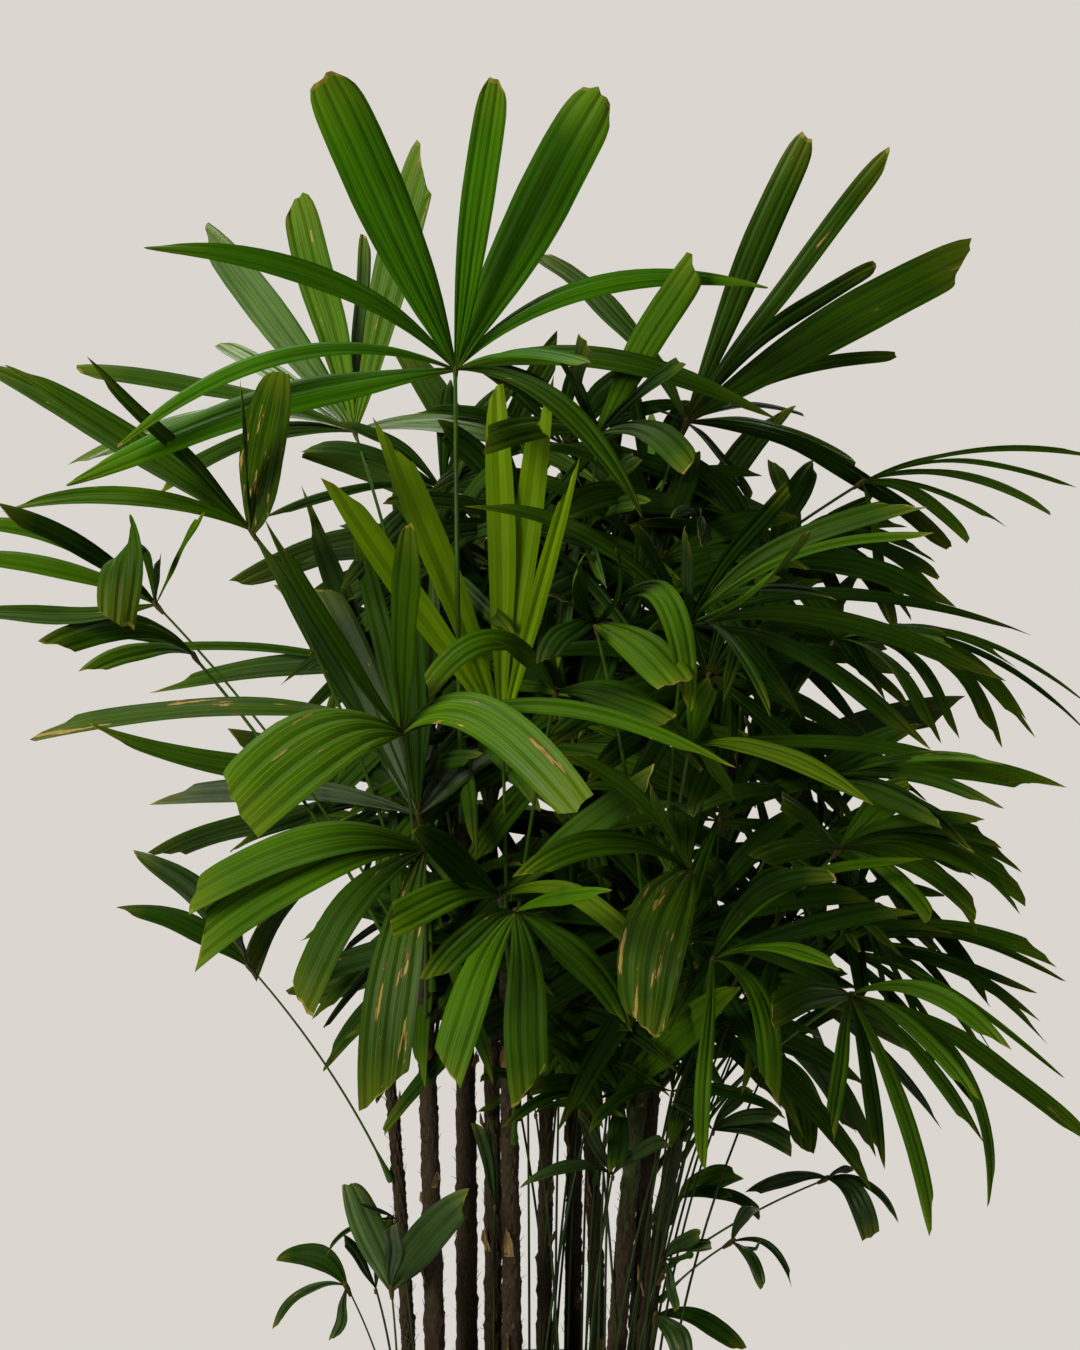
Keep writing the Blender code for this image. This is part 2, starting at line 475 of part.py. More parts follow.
class Frond:
    """One frond: a stalk from its bearer to the hub, and the fingers that spread from the hub."""

    def __init__(self, name, bearer, height, hub, turn, length, fingers, far=False):
        self.name, self.bearer, self.height = name, bearer, height
        self.hub = Vector(hub)
        self.length, self.fingers, self.far = length, fingers, far
        self.right, self.out = facing(turn)
        self.across = self.right if far else Vector((1, 0, 0))
        self.slope = 0.0 if far else self.right.y / self.right.x
        self.face = (self.out * cos(FACE_UP) + Vector((0, 0, sin(FACE_UP)))).normalized()
        self.up = self.face.cross(self.right)
        self.strips = []

    def fit_stalk(self, space, seat):
        """The first stalk that crosses nothing and stands on its bearer with the right gap."""
        for step_up in STEPS_UP:
            for bow in BOWS:
                for swing in SWINGS:
                    self.stalk = self.seated_stalk(seat, self.height + step_up, swing, bow)
                    if abs(self.foot_gap(self.stalk, seat) - STALK_GAP) > STALK_GAP_PLAY:
                        continue
                    if space.blocked(*self.stalk.shell(), ignore=(self.name,)):
                        continue
                    if not space.blocked(*self.stalk.shell(CLEARANCE / 4), ignore=(self.name, self.bearer)):
                        return
        print(self.name, "has no way for its stalk")

    def seated_stalk(self, seat, height, swing, bow):
        """The stalk's foot is brought up to what bears it until the gap is the right one."""
        if self.bearer == "soil":
            foot = Vector((self.height, self.hub.y * SOIL_FOOT_SHARE, SOIL_TOP + STALK_WIDTH))
            away = Vector((0, 0, 1))
        elif self.height >= CANES[self.bearer][1][2]:
            foot = Vector(CANES[self.bearer][1]) + Vector((0, 0, STALK_WIDTH))
            away = Vector((0, 0, 1))
        else:
            axis, radius = cane_at(self.bearer, height)
            away = Vector((self.hub.x - axis.x, self.hub.y - axis.y, 0)).normalized()
            away.rotate(Matrix.Rotation(radians(swing), 3, "Z"))
            foot = axis + away * (radius + STALK_WIDTH)
        for _ in range(SEATING_ROUNDS):
            short = STALK_GAP - self.foot_gap(self.stalk_to(foot, bow), seat)
            foot = foot + away * min(max(short, -SEATING_STEP), SEATING_STEP)
        return self.stalk_to(foot, bow)

    def foot_gap(self, stalk, seat):
        """How far the stalk's foot is from what bears it, below zero where it is inside."""
        foot, upper = stalk.ring(*stalk.stations[1]), stalk.ring(*stalk.stations[0])
        gaps = []
        for corner in foot + [low.lerp(high, FOOT_SHARE) for low, high in zip(foot, upper)]:
            near, normal, _, distance = seat.find_nearest(corner)
            gaps.append(distance if (corner - near).dot(normal) > 0 else -distance)
        return min(gaps)

    def stalk_to(self, foot, bow):
        bow = bow * (self.hub - foot).length
        return Strip(self.hub, foot, bow, self.face, STALK_WIDTH, STALK_STATIONS, STALK_DEPTH)

    def finger(self, size, forward, share):
        """One finger as a strip. Its tip may come further forward, or be nearer, than its size says."""
        bearing, reach, width, bow = size[:4]
        angle = radians(bearing)
        level = self.across * sin(angle) + Vector((0, 0, cos(angle)))
        flat = self.hub + level * (reach * share / 100)
        if len(size) > 4:
            depth = size[4]
        else:
            short = sqrt(max(self.length ** 2 - reach ** 2, 0.0)) * DEPTH_SHARE
            depth = short * (1 if self.length > 0 else -1) - reach * sin(angle) * self.slope
        depth = (depth + forward) * share / 100
        sight = self.sight(flat)
        early = DROOP_SHARE * (1 - cos(angle))
        stations = NARROW_STATIONS if width < NARROW else BROAD_STATIONS
        shift = -sight * (depth * early)
        return Strip(self.hub, flat - sight * depth, bow / 100, self.face, width / 100, stations, BLADE, shift)

    def sight(self, point):
        """The line of sight through a point, a metre deep."""
        if self.far:
            return -self.out
        return (point - EYE) / (point.y - EYE.y)

    def grow(self, space):
        """Fit each finger into the free space in turn."""
        left_out = []
        for size in self.fingers:
            strip = self.first_free(size, space)
            if strip:
                self.strips.append(strip)
                space.add(self.name, *strip.shell())
            else:
                left_out.append(size[0])
        if left_out:
            print(self.name, "has no room for its fingers at", left_out)

    def first_free(self, size, space):
        for share in SHORTER:
            for forward in WAYS_ROUND:
                strip = self.finger(size, forward, share)
                if space.blocked(*strip.shell(CLEARANCE), ignore=(self.name, self.name + "_stalk")):
                    continue
                if not crosses_itself(*self.star(self.strips + [strip])):
                    return strip
        return None

    def hub_plate(self):
        """A small plate over the hub, which other fronds keep clear of."""
        points = []
        for side in (1, -1):
            for turn in range(0, 360, 90):
                way = self.right * cos(radians(turn)) + self.up * sin(radians(turn))
                points.append(self.hub + way * (HUB_PLATE_SHARE * HUB_RADIUS) + self.face * (side * BLADE))
        faces = [(0, 1, 2, 3), (7, 6, 5, 4)]
        faces.extend((corner, corner + 4, (corner + 1) % 4 + 4, (corner + 1) % 4) for corner in range(4))
        return points, faces

    def star(self, strips):
        """One closed solid: the strips and the stalk meet at a thin hub, each between its two neighbours."""
        spokes = []
        for strip in strips + [self.stalk]:
            lead = strip.place(strip.stations[0][0]) - self.hub
            spokes.append((degrees(atan2(lead.dot(self.right), lead.dot(self.up))) % 360, strip))
        spokes.sort(key=lambda item: item[0])
        stalk_order = [strip for _, strip in spokes].index(self.stalk)
        turns = spread_out([turn for turn, _ in spokes], stalk_order)
        points, faces, front, back = [], [], [], []
        count = len(spokes)
        for order, (_, strip) in enumerate(spokes):
            before = (turns[order] - turns[order - 1]) % 360
            after = (turns[(order + 1) % count] - turns[order]) % 360
            widest = ROOT_WIDTH_SHARE * strip.stations[0][1]
            left = min(widest, HUB_FILL * HUB_RADIUS * half_gap(before))
            right = min(widest, HUB_FILL * HUB_RADIUS * half_gap(after))
            angle = radians(turns[order])
            way = self.right * sin(angle) + self.up * cos(angle)
            near = len(points)
            points.extend(strip.root_ring(way, left, right, BLADE / 2))
            front.extend([near, near + 1])
            back.extend([near + 3, near + 2])
            previous = near
            for share, width in strip.stations:
                here = len(points)
                points.extend(strip.ring(share, width))
                faces.extend(ring_faces(previous, here))
                previous = here
            faces.append((previous, previous + 1, previous + 2, previous + 3))
        corners = len(front)
        faces.append(tuple(reversed(front)))
        faces.append(tuple(back))
        for order in range(1, corners, 2):
            after = (order + 1) % corners
            faces.append((front[order], front[after], back[after], back[order]))
        return points, faces


def crosses_itself(points, faces):
    """Whether two faces that share no corner meet."""
    tree = BVHTree.FromPolygons(points, faces)
    return any(not set(faces[one]) & set(faces[other]) for one, other in tree.overlap(tree))


def spread_out(turns, stalk_order):
    """The bearings of the spokes round a hub, pushed apart where two nearly share one, the stalk's furthest."""
    count = len(turns)
    for _ in range(SPREAD_ROUNDS):
        for order in range(count):
            gap = (turns[(order + 1) % count] - turns[order]) % 360
            by_stalk = stalk_order in (order, (order + 1) % count)
            short = (STALK_SPOKE_GAP if by_stalk else LEAST_SPOKE_GAP) - gap
            if short > 0:
                turns[order] -= short / 2
                turns[(order + 1) % count] += short / 2
    return turns


def half_gap(turn):
    """The tangent of half a turn, up to a right angle."""
    half = radians(min(turn, 90) / 2)
    return sin(half) / cos(half)


def make_mass(name, space, trees):
    """An uneven closed solid that fills its ellipsoid as far as the fronds and canes leave room."""
    bearer, centre, size = MASSES[name]
    centre = Vector(centre)
    ball = bmesh.new()
    bmesh.ops.create_icosphere(ball, subdivisions=2, radius=1.0)
    faces = [tuple(vert.index for vert in face.verts) for face in ball.faces]
    ways = [vert.co.normalized() for vert in ball.verts]
    ball.free()
    seat, _, _, _ = trees[bearer].find_nearest(centre)
    toward = (seat - centre).normalized()
    neck = max(range(len(ways)), key=lambda item: ways[item].dot(toward))
    reach = []
    for order, way in enumerate(ways):
        full = Vector((way.x * size[0], way.y * size[1], way.z * size[2])).length
        far = full * (1 - MASS_UNEVEN * (1 - sin(5 * order) * cos(3 * order)))
        for _, _, tree in space.pieces:
            hit = tree.ray_cast(centre, way, far + MASS_CLEARANCE)[3]
            if hit is not None:
                far = min(far, hit - MASS_CLEARANCE)
        reach.append(max(far, MASS_LEAST))
    ways[neck] = toward
    reach[neck] = (seat - centre).length - 2 * GAP
    for _ in range(MASS_ROUNDS):
        points = [centre + way * far for way, far in zip(ways, reach)]
        tree = BVHTree.FromPolygons(points, faces)
        box = box_of(points)
        caught = set()
        for _, piece_box, piece_tree in space.pieces:
            if apart(box, piece_box):
                continue
            for face, _ in tree.overlap(piece_tree):
                caught.update(faces[face])
        caught.discard(neck)
        if not caught:
            break
        for order in caught:
            reach[order] *= MASS_SHRINK
    points = [centre + way * far for way, far in zip(ways, reach)]
    space.add(name, points, faces)
    add_object(name, points, faces, "mass")


def surface_of(body):
    """The points and faces of an object."""
    mesh = body.data
    return [vert.co.copy() for vert in mesh.vertices], [tuple(face.vertices) for face in mesh.polygons]


def main():
    clear_scene()
    make_pot()
    make_soil()
    for name in CANES:
        make_cane(name)
    space = Space()
    trees = {}
    for name in ("pot", "soil", *CANES):
        points, faces = surface_of(bpy.data.objects[name])
        trees[name] = BVHTree.FromPolygons(points, faces)
        space.add(name, points, faces)
    fronds = all_fronds()
    for frond in fronds:
        space.add(frond.name, *frond.hub_plate())
    for frond in fronds:
        frond.fit_stalk(space, trees[frond.bearer])
        space.add(frond.name + "_stalk", *frond.stalk.shell(CLEARANCE / 2))
    for frond in fronds:
        frond.grow(space)
    for frond in fronds:
        points, faces = frond.star(frond.strips)
        kind = "frond_young" if frond.name == "frond_young" else "frond"
        add_object(frond.name, points, faces, kind)
    for name in MASSES:
        make_mass(name, space, trees)


main()
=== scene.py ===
# Lady palm in a plain round pot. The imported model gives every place. This script lays the looks over it.
from math import cos, pi, radians, sin, sqrt
from random import Random

import bmesh
import bpy
import numpy as np
from mathutils import Matrix, Vector
from mathutils.kdtree import KDTree


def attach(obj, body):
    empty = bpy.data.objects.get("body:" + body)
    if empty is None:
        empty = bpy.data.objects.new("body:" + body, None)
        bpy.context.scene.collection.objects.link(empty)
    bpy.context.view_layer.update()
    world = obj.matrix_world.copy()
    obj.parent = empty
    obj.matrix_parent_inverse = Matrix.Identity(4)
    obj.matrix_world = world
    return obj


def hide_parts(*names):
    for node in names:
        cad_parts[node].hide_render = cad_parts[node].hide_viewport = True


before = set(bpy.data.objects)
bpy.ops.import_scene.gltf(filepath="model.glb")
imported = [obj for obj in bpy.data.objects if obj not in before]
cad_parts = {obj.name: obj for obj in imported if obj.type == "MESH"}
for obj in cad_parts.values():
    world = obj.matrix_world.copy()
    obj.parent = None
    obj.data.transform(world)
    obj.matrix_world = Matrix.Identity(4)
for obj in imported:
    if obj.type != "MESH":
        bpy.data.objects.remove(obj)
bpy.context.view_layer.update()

print("frame loaded,", len(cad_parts), "nodes")


def deselectAll():
    if bpy.context.mode != "OBJECT":
        bpy.ops.object.mode_set(mode="OBJECT")
    bpy.ops.object.select_all(action="DESELECT")


def smooth(piece, degrees):
    deselectAll()
    piece.select_set(True)
    bpy.context.view_layer.objects.active = piece
    bpy.ops.object.shade_smooth_by_angle(angle=radians(degrees))


# Camera: level, in front of the clump, as far off as the picture's narrow view asks for
camera = {"eye": (-0.005, -3.0, 1.051), "lens": 76.2, "sensor": 36.0}
bpy.ops.object.camera_add(location=camera["eye"], rotation=(pi / 2, 0, 0))
cameraObject = bpy.context.active_object
cameraObject.name = "frontCamera"
cameraObject.data.lens = camera["lens"]
cameraObject.data.sensor_width = camera["sensor"]
cameraObject.data.clip_end = 50
bpy.context.scene.camera = cameraObject
bpy.context.scene.view_settings.view_transform = "Standard"

# Studio: a warm pale backdrop, one big soft lamp from the upper left, and weak fill, so the right side
# stays dark. Each lamp has its place, the point it is aimed at, its size, power and colour.
studio = {
    "backdrop": (0.708, 0.679, 0.631),
    "ambient": (0.90, 0.90, 0.78),
    "ambientStrength": 0.04,
    "lamps": (
        ("keyLamp", (-2.9, -2.8, 2.5), (0.0, 0.0, 0.95), 1.5, 182, (1.0, 0.97, 0.80)),
        ("topLamp", (-0.9, 0.9, 3.6), (0.0, 0.0, 1.0), 1.4, 46, (1.0, 1.0, 0.90)),
        ("fillLamp", (2.6, -2.6, 1.6), (0.1, 0.0, 0.9), 1.8, 21, (1.0, 0.98, 0.92)),
        ("backLamp", (0.8, 3.4, 1.9), (0.0, 0.0, 0.9), 2.0, 34, (1.0, 0.99, 0.94)),
    ),
}


def setUpStudio():
    world = bpy.data.worlds.new("studioWorld")
    world.use_nodes = True
    bpy.context.scene.world = world
    nodes, links = world.node_tree.nodes, world.node_tree.links
    nodes.clear()
    output = nodes.new("ShaderNodeOutputWorld")
    mix = nodes.new("ShaderNodeMixShader")
    seen = nodes.new("ShaderNodeBackground")
    around = nodes.new("ShaderNodeBackground")
    path = nodes.new("ShaderNodeLightPath")
    seen.inputs["Color"].default_value = (*studio["backdrop"], 1)
    around.inputs["Color"].default_value = (*studio["ambient"], 1)
    around.inputs["Strength"].default_value = studio["ambientStrength"]
    links.new(path.outputs["Is Camera Ray"], mix.inputs[0])
    links.new(around.outputs[0], mix.inputs[1])
    links.new(seen.outputs[0], mix.inputs[2])
    links.new(mix.outputs[0], output.inputs["Surface"])
    for name, place, aim, size, power, colour in studio["lamps"]:
        way = Vector(aim) - Vector(place)
        bpy.ops.object.light_add(type="AREA", location=place, rotation=way.to_track_quat("-Z", "Y").to_euler())
        light = bpy.context.active_object
        light.name = name
        light.data.size, light.data.energy, light.data.color = size, power, colour



setUpStudio()
print("camera and studio ready")


# Materials. Each is a small procedural tree on the shader, on object coordinates or the piece's own maps.
def linear(colour):
    return [(c / 255 / 12.92) if c <= 10 else ((c / 255 + 0.055) / 1.055) ** 2.4 for c in colour]


def newFinish(name):
    finish = bpy.data.materials.new(name)
    finish.use_nodes = True
    return finish, finish.node_tree, finish.node_tree.nodes["Principled BSDF"]


def addNode(tree, kind, **settings):
    node = tree.nodes.new(kind)
    for key, value in settings.items():
        if key in node.inputs:
            node.inputs[key].default_value = value
        else:
            setattr(node, key, value)
    return node


def addNoise(tree, places, stretch, scale, detail=3.0, rough=0.55):
    mapping = addNode(tree, "ShaderNodeMapping")
    mapping.inputs["Scale"].default_value = stretch
    tree.links.new(places, mapping.inputs["Vector"])
    noise = addNode(tree, "ShaderNodeTexNoise", Scale=scale, Detail=detail, Roughness=rough)
    tree.links.new(mapping.outputs[0], noise.inputs["Vector"])
    return noise.outputs["Fac"]


def blendColours(tree, amount, first, second):
    mix = tree.nodes.new("ShaderNodeMix")
    mix.data_type = "RGBA"
    for socket, value in ((mix.inputs["Factor"], amount), (mix.inputs[6], first), (mix.inputs[7], second)):
        if isinstance(value, bpy.types.NodeSocket):
            tree.links.new(value, socket)
        elif isinstance(value, (int, float)):
            socket.default_value = value
        else:
            socket.default_value = (*value, 1)
    return mix.outputs[2]


def mapValue(tree, value, low, high, toLow=0.0, toHigh=1.0):
    spread = tree.nodes.new("ShaderNodeMapRange")
    for socket, number in zip(spread.inputs[1:5], (low, high, toLow, toHigh)):
        socket.default_value = number
    tree.links.new(value, spread.inputs[0])
    return spread.outputs[0]


def mathNode(tree, way, first, second):
    node = addNode(tree, "ShaderNodeMath", operation=way)
    for socket, value in zip(node.inputs, (first, second)):
        if isinstance(value, bpy.types.NodeSocket):
            tree.links.new(value, socket)
        else:
            socket.default_value = value
    return node.outputs[0]


def weighted(tree, first, much, second, more):
    return mathNode(tree, "ADD", mathNode(tree, "MULTIPLY", first, much), mathNode(tree, "MULTIPLY", second, more))


def addBump(tree, shader, height, strength, distance):
    bump = addNode(tree, "ShaderNodeBump", Strength=strength, Distance=distance)
    tree.links.new(height, bump.inputs["Height"])
    tree.links.new(bump.outputs[0], shader.inputs["Normal"])


# Leaf tones as the eye sees them in the light, 0 to 255: the shaded folds, the lit ones and the ribs. Scars are
# dry tan streaks, stripes the pale veins and painted valley shade along the folds, and gloss is the thin waxy coat.
toneKeys = ("low", "high", "rib", "scars", "stripes", "rough", "shine", "gloss")
leafTones = {
    # deep and dark are darker greens, given to the fronds on the shaded right and inside the clump: partly painted
    # shade.
    "deep": ((19, 40, 0), (33, 64, 0), (42, 76, 3), 0.5, 1, 0.55, 0.07, 0.0),
    "dark": ((33, 58, 0), (50, 84, 0), (64, 98, 6), 0.7, 1, 0.52, 0.08, 0.0),
    "crown": ((42, 86, 0), (64, 118, 0), (82, 134, 8), 0.1, 0.7, 0.5, 0.08, 0.0),
    "mid": ((46, 80, 0), (68, 108, 0), (88, 124, 8), 0.6, 1, 0.5, 0.08, 0.0),
    "worn": ((34, 58, 0), (54, 86, 2), (76, 106, 14), 1.6, 1, 0.46, 0.12, 0.02),
    "fresh": ((54, 90, 0), (76, 116, 4), (104, 138, 24), 1.15, 1, 0.45, 0.12, 0.02),
    "lime": ((88, 122, 0), (112, 148, 2), (124, 156, 10), 0.0, 0.3, 0.5, 0.08, 0.0),
    "olive": ((66, 90, 0), (84, 110, 2), (96, 118, 10), 0.4, 1, 0.55, 0.06, 0.0),
    "sage": ((42, 76, 4), (70, 110, 14), (104, 138, 44), 0.4, 1, 0.32, 0.5, 0.22),
    "slate": ((28, 50, 10), (44, 70, 20), (60, 86, 28), 0.6, 1, 0.42, 0.2, 0.04),
}
leafTones = {name: dict(zip(toneKeys, row)) for name, row in leafTones.items()}
# Each noise has its stretch, scale, detail and roughness. The marks along and across a blade start and end at
# a share of the fold or of the length.
leafDetail = {
    "streaks": ((1, 0.012, 1), 620, 4, 0.6), "patches": ((1, 0.30, 1), 26, 2, 0.5),
    "veins": ((1, 0.004, 1), 2400, 2, 0.5), "specks": ((1, 0.10, 1), 130, 5, 0.62),
    "streakShare": 0.9, "patchShare": 1.1, "lit": (0.72, 1.28),
    # The valley marks paint the shade that lies in the valleys of the folds.
    "crestAt": (0.40, 0.48), "crestPale": 0.48, "valleyAt": (0.02, 0.12), "valleyShade": 0.40, "valleyShadeTone": 0.55,
    "tipAt": (0.80, 1.05), "tipPale": 0.30, "hubAt": (0.0, 0.10), "hubRed": 0.45,
    "scarFrom": 0.755, "scarStep": 0.095, "scarRim": 0.03, "scarCore": 0.015, "scarCover": 0.8,
    "underTone": 0.85, "underPale": 0.012, "underShine": 0.6, "ribTone": 0.86, "coatRough": 0.28,
    "patchy": (0.3, 0.7), "smoother": 0.05, "rougher": 0.10,
    "pleatHigh": 2.0, "veinHigh": 0.25, "bump": (0.8, 0.0012),
}
scarTan, scarBrown, limeTip, hubRed = (168, 142, 78), (104, 74, 34), (150, 158, 38), (86, 66, 30)


def leafFinish(name, tone, under=False):
    finish, tree, shader = newFinish(name)
    detail = leafDetail
    metres = addNode(tree, "ShaderNodeUVMap", uv_map="bladeMetres").outputs[0]
    share = addNode(tree, "ShaderNodeUVMap", uv_map="bladeShare").outputs[0]
    split = tree.nodes.new("ShaderNodeSeparateXYZ")
    tree.links.new(share, split.inputs[0])
    fold, along = split.outputs[0], split.outputs[1]
    low, high = linear(tone["low"]), linear(tone["high"])
    if under:
        low, high = [[value * detail["underTone"] + detail["underPale"] for value in one] for one in (low, high)]
    streaks, patches, veins = [addNoise(tree, metres, *detail[key]) for key in ("streaks", "patches", "veins")]
    spread = weighted(tree, streaks, detail["streakShare"], patches, detail["patchShare"])
    colour = blendColours(tree, mapValue(tree, spread, *detail["lit"]), low, high)
    # A pale vein runs along the crest of each small fold, and a dark line of painted shade lies in each valley. Blades
    # pale towards their tips and redden where they crowd into the hub.
    crest = mathNode(tree, "PINGPONG", fold, 0.5)
    valley = [value * detail["valleyShadeTone"] for value in low]
    coats = [
        (crest, *detail["crestAt"], 0, detail["crestPale"] * tone["stripes"], linear(tone["rib"])),
        (crest, *detail["valleyAt"], detail["valleyShade"] * tone["stripes"], 0, valley),
        (along, *detail["tipAt"], 0, detail["tipPale"], linear(limeTip)),
        (along, *detail["hubAt"], detail["hubRed"], 0, linear(hubRed)),
    ]
    if tone["scars"] and not under:
        specks = addNoise(tree, metres, *detail["specks"])
        limit = detail["scarFrom"] - detail["scarStep"] * tone["scars"]
        coats.append((specks, limit - detail["scarRim"], limit, 0, detail["scarCover"], linear(scarBrown)))
        coats.append((specks, limit, limit + detail["scarCore"], 0, 1, linear(scarTan)))
    for value, start, end, first, last, coat in coats:
        colour = blendColours(tree, mapValue(tree, value, start, end, first, last), colour, coat)
    tree.links.new(colour, shader.inputs["Base Color"])
    smoothest, roughest = tone["rough"] - detail["smoother"], tone["rough"] + detail["rougher"]
    tree.links.new(mapValue(tree, patches, *detail["patchy"], smoothest, roughest), shader.inputs["Roughness"])
    shader.inputs["Specular IOR Level"].default_value = tone["shine"] * (detail["underShine"] if under else 1)
    shader.inputs["Coat Weight"].default_value = 0.0 if under else tone["gloss"]
    shader.inputs["Coat Roughness"].default_value = detail["coatRough"]
    addBump(tree, shader, weighted(tree, crest, detail["pleatHigh"], veins, detail["veinHigh"]), *detail["bump"])
    return finish


def speckledFinish(name, low, high, rough, scale=900, bump=0.3, distance=0.0003, stretch=(1, 1, 1), shine=0.2):
    finish, tree, shader = newFinish(name)
    places = tree.nodes.new("ShaderNodeTexCoord").outputs["Object"]
    grain = addNoise(tree, places, stretch, scale, 4, 0.6)
    colour = blendColours(tree, mapValue(tree, grain, 0.3, 0.7), linear(low), linear(high))
    tree.links.new(colour, shader.inputs["Base Color"])
    tree.links.new(mapValue(tree, grain, 0.3, 0.7, rough - 0.06, rough + 0.06), shader.inputs["Roughness"])
    shader.inputs["Specular IOR Level"].default_value = shine
    addBump(tree, shader, grain, bump, distance)
    return finish


leafFinishes = {}
for name, tone in leafTones.items():
    kind = name.capitalize()
    leafFinishes[name] = leafFinish("leaf" + kind, tone)
    leafFinishes[name + "Under"] = leafFinish("leaf" + kind + "Under", tone, under=True)
    ribLow = [value * leafDetail["ribTone"] for value in tone["rib"]]
    leafFinishes[name + "Rib"] = speckledFinish("rib" + kind, ribLow, tone["rib"], 0.5, bump=0.0, shine=tone["shine"])
finishes = {
    "tipTan": speckledFinish("tipTan", (104, 82, 36), (160, 134, 74), 0.75),
    "tipYellow": speckledFinish("tipYellow", (104, 100, 22), (150, 138, 44), 0.6),
    "stalkGreen": speckledFinish("stalkGreen", (42, 70, 4), (62, 94, 10), 0.45, 300, 0.0, stretch=(1, 1, 0.05)),
    "stalkDark": speckledFinish("stalkDark", (20, 34, 4), (40, 60, 12), 0.5, 300, 0.0, stretch=(1, 1, 0.05)),
    "hubBrown": speckledFinish("hubBrown", (50, 46, 16), (86, 74, 34), 0.7),
}
print("leaf finishes ready,", len(leafFinishes) + len(finishes))


# Blades. A flat blade is modelled for each number of folds and each outline, pleated and tapered row by row,
# and each finger is a copy of one of them laid along its own curve.
blade = {
    "length": 0.32, "width": 0.05, "thick": 0.0006, "rib": 0.0007, "pleat": 0.24, "steeper": 0.9, "aside": 10,
    "rows": (0, .025, .06, .10, .145, .19, .24, .29, .34, .39, .44, .49, .54, .59, .64, .69, .74, .79, .835, .875,
             .91, .94, .965, .985, 1),
    "folds": (2, 3, 4, 5, 6, 7), "rimNormal": 0.35, "rimFrom": 0.9, "endNormal": 0.7, "tipFrom": 0.982, "nearRib": 0.25,
}
# How wide each outline is, as a share of its width, at shares of its length
outlines = {
    "blunt": ((0, .10), (.06, .21), (.12, .34), (.24, .57), (.36, .76), (.48, .90), (.62, 1.0), (.80, .985),
              (.90, .94), (.96, .84), (1, .66)),
    "cut": ((0, .10), (.06, .23), (.12, .37), (.24, .60), (.36, .80), (.48, .93), (.60, 1.0), (.74, 1.0), (.86, .96),
            (.94, .90), (1, .84)),
    "strap": ((0, .10), (.06, .22), (.12, .36), (.24, .60), (.36, .80), (.48, .94), (.60, 1.0), (.74, .97),
              (.86, .84), (.94, .68), (1, .50)),
    "slim": ((0, .16), (.08, .34), (.16, .52), (.30, .78), (.46, 1.0), (.64, .97), (.80, .80), (.92, .56), (1, .30)),
    "taper": ((0, .12), (.06, .26), (.12, .42), (.24, .68), (.36, .90), (.48, 1.0), (.60, .97), (.74, .82),
              (.86, .60), (.94, .40), (1, .20)),
    "oval": ((0, .20), (.06, .36), (.12, .54), (.24, .80), (.36, .95), (.50, 1.0), (.66, .96), (.80, .82), (.90, .66),
             (.96, .52), (1, .38)),
}


def widthAt(outline, share):
    places, widths = zip(*outlines[outline])
    return float(np.interp(share, places, widths))


def rowsOf(mesh, y, close=1e-4):
    for vert in mesh.verts:
        vert.select_set(abs(vert.co.y - y) < close)
    mesh.select_flush_mode()


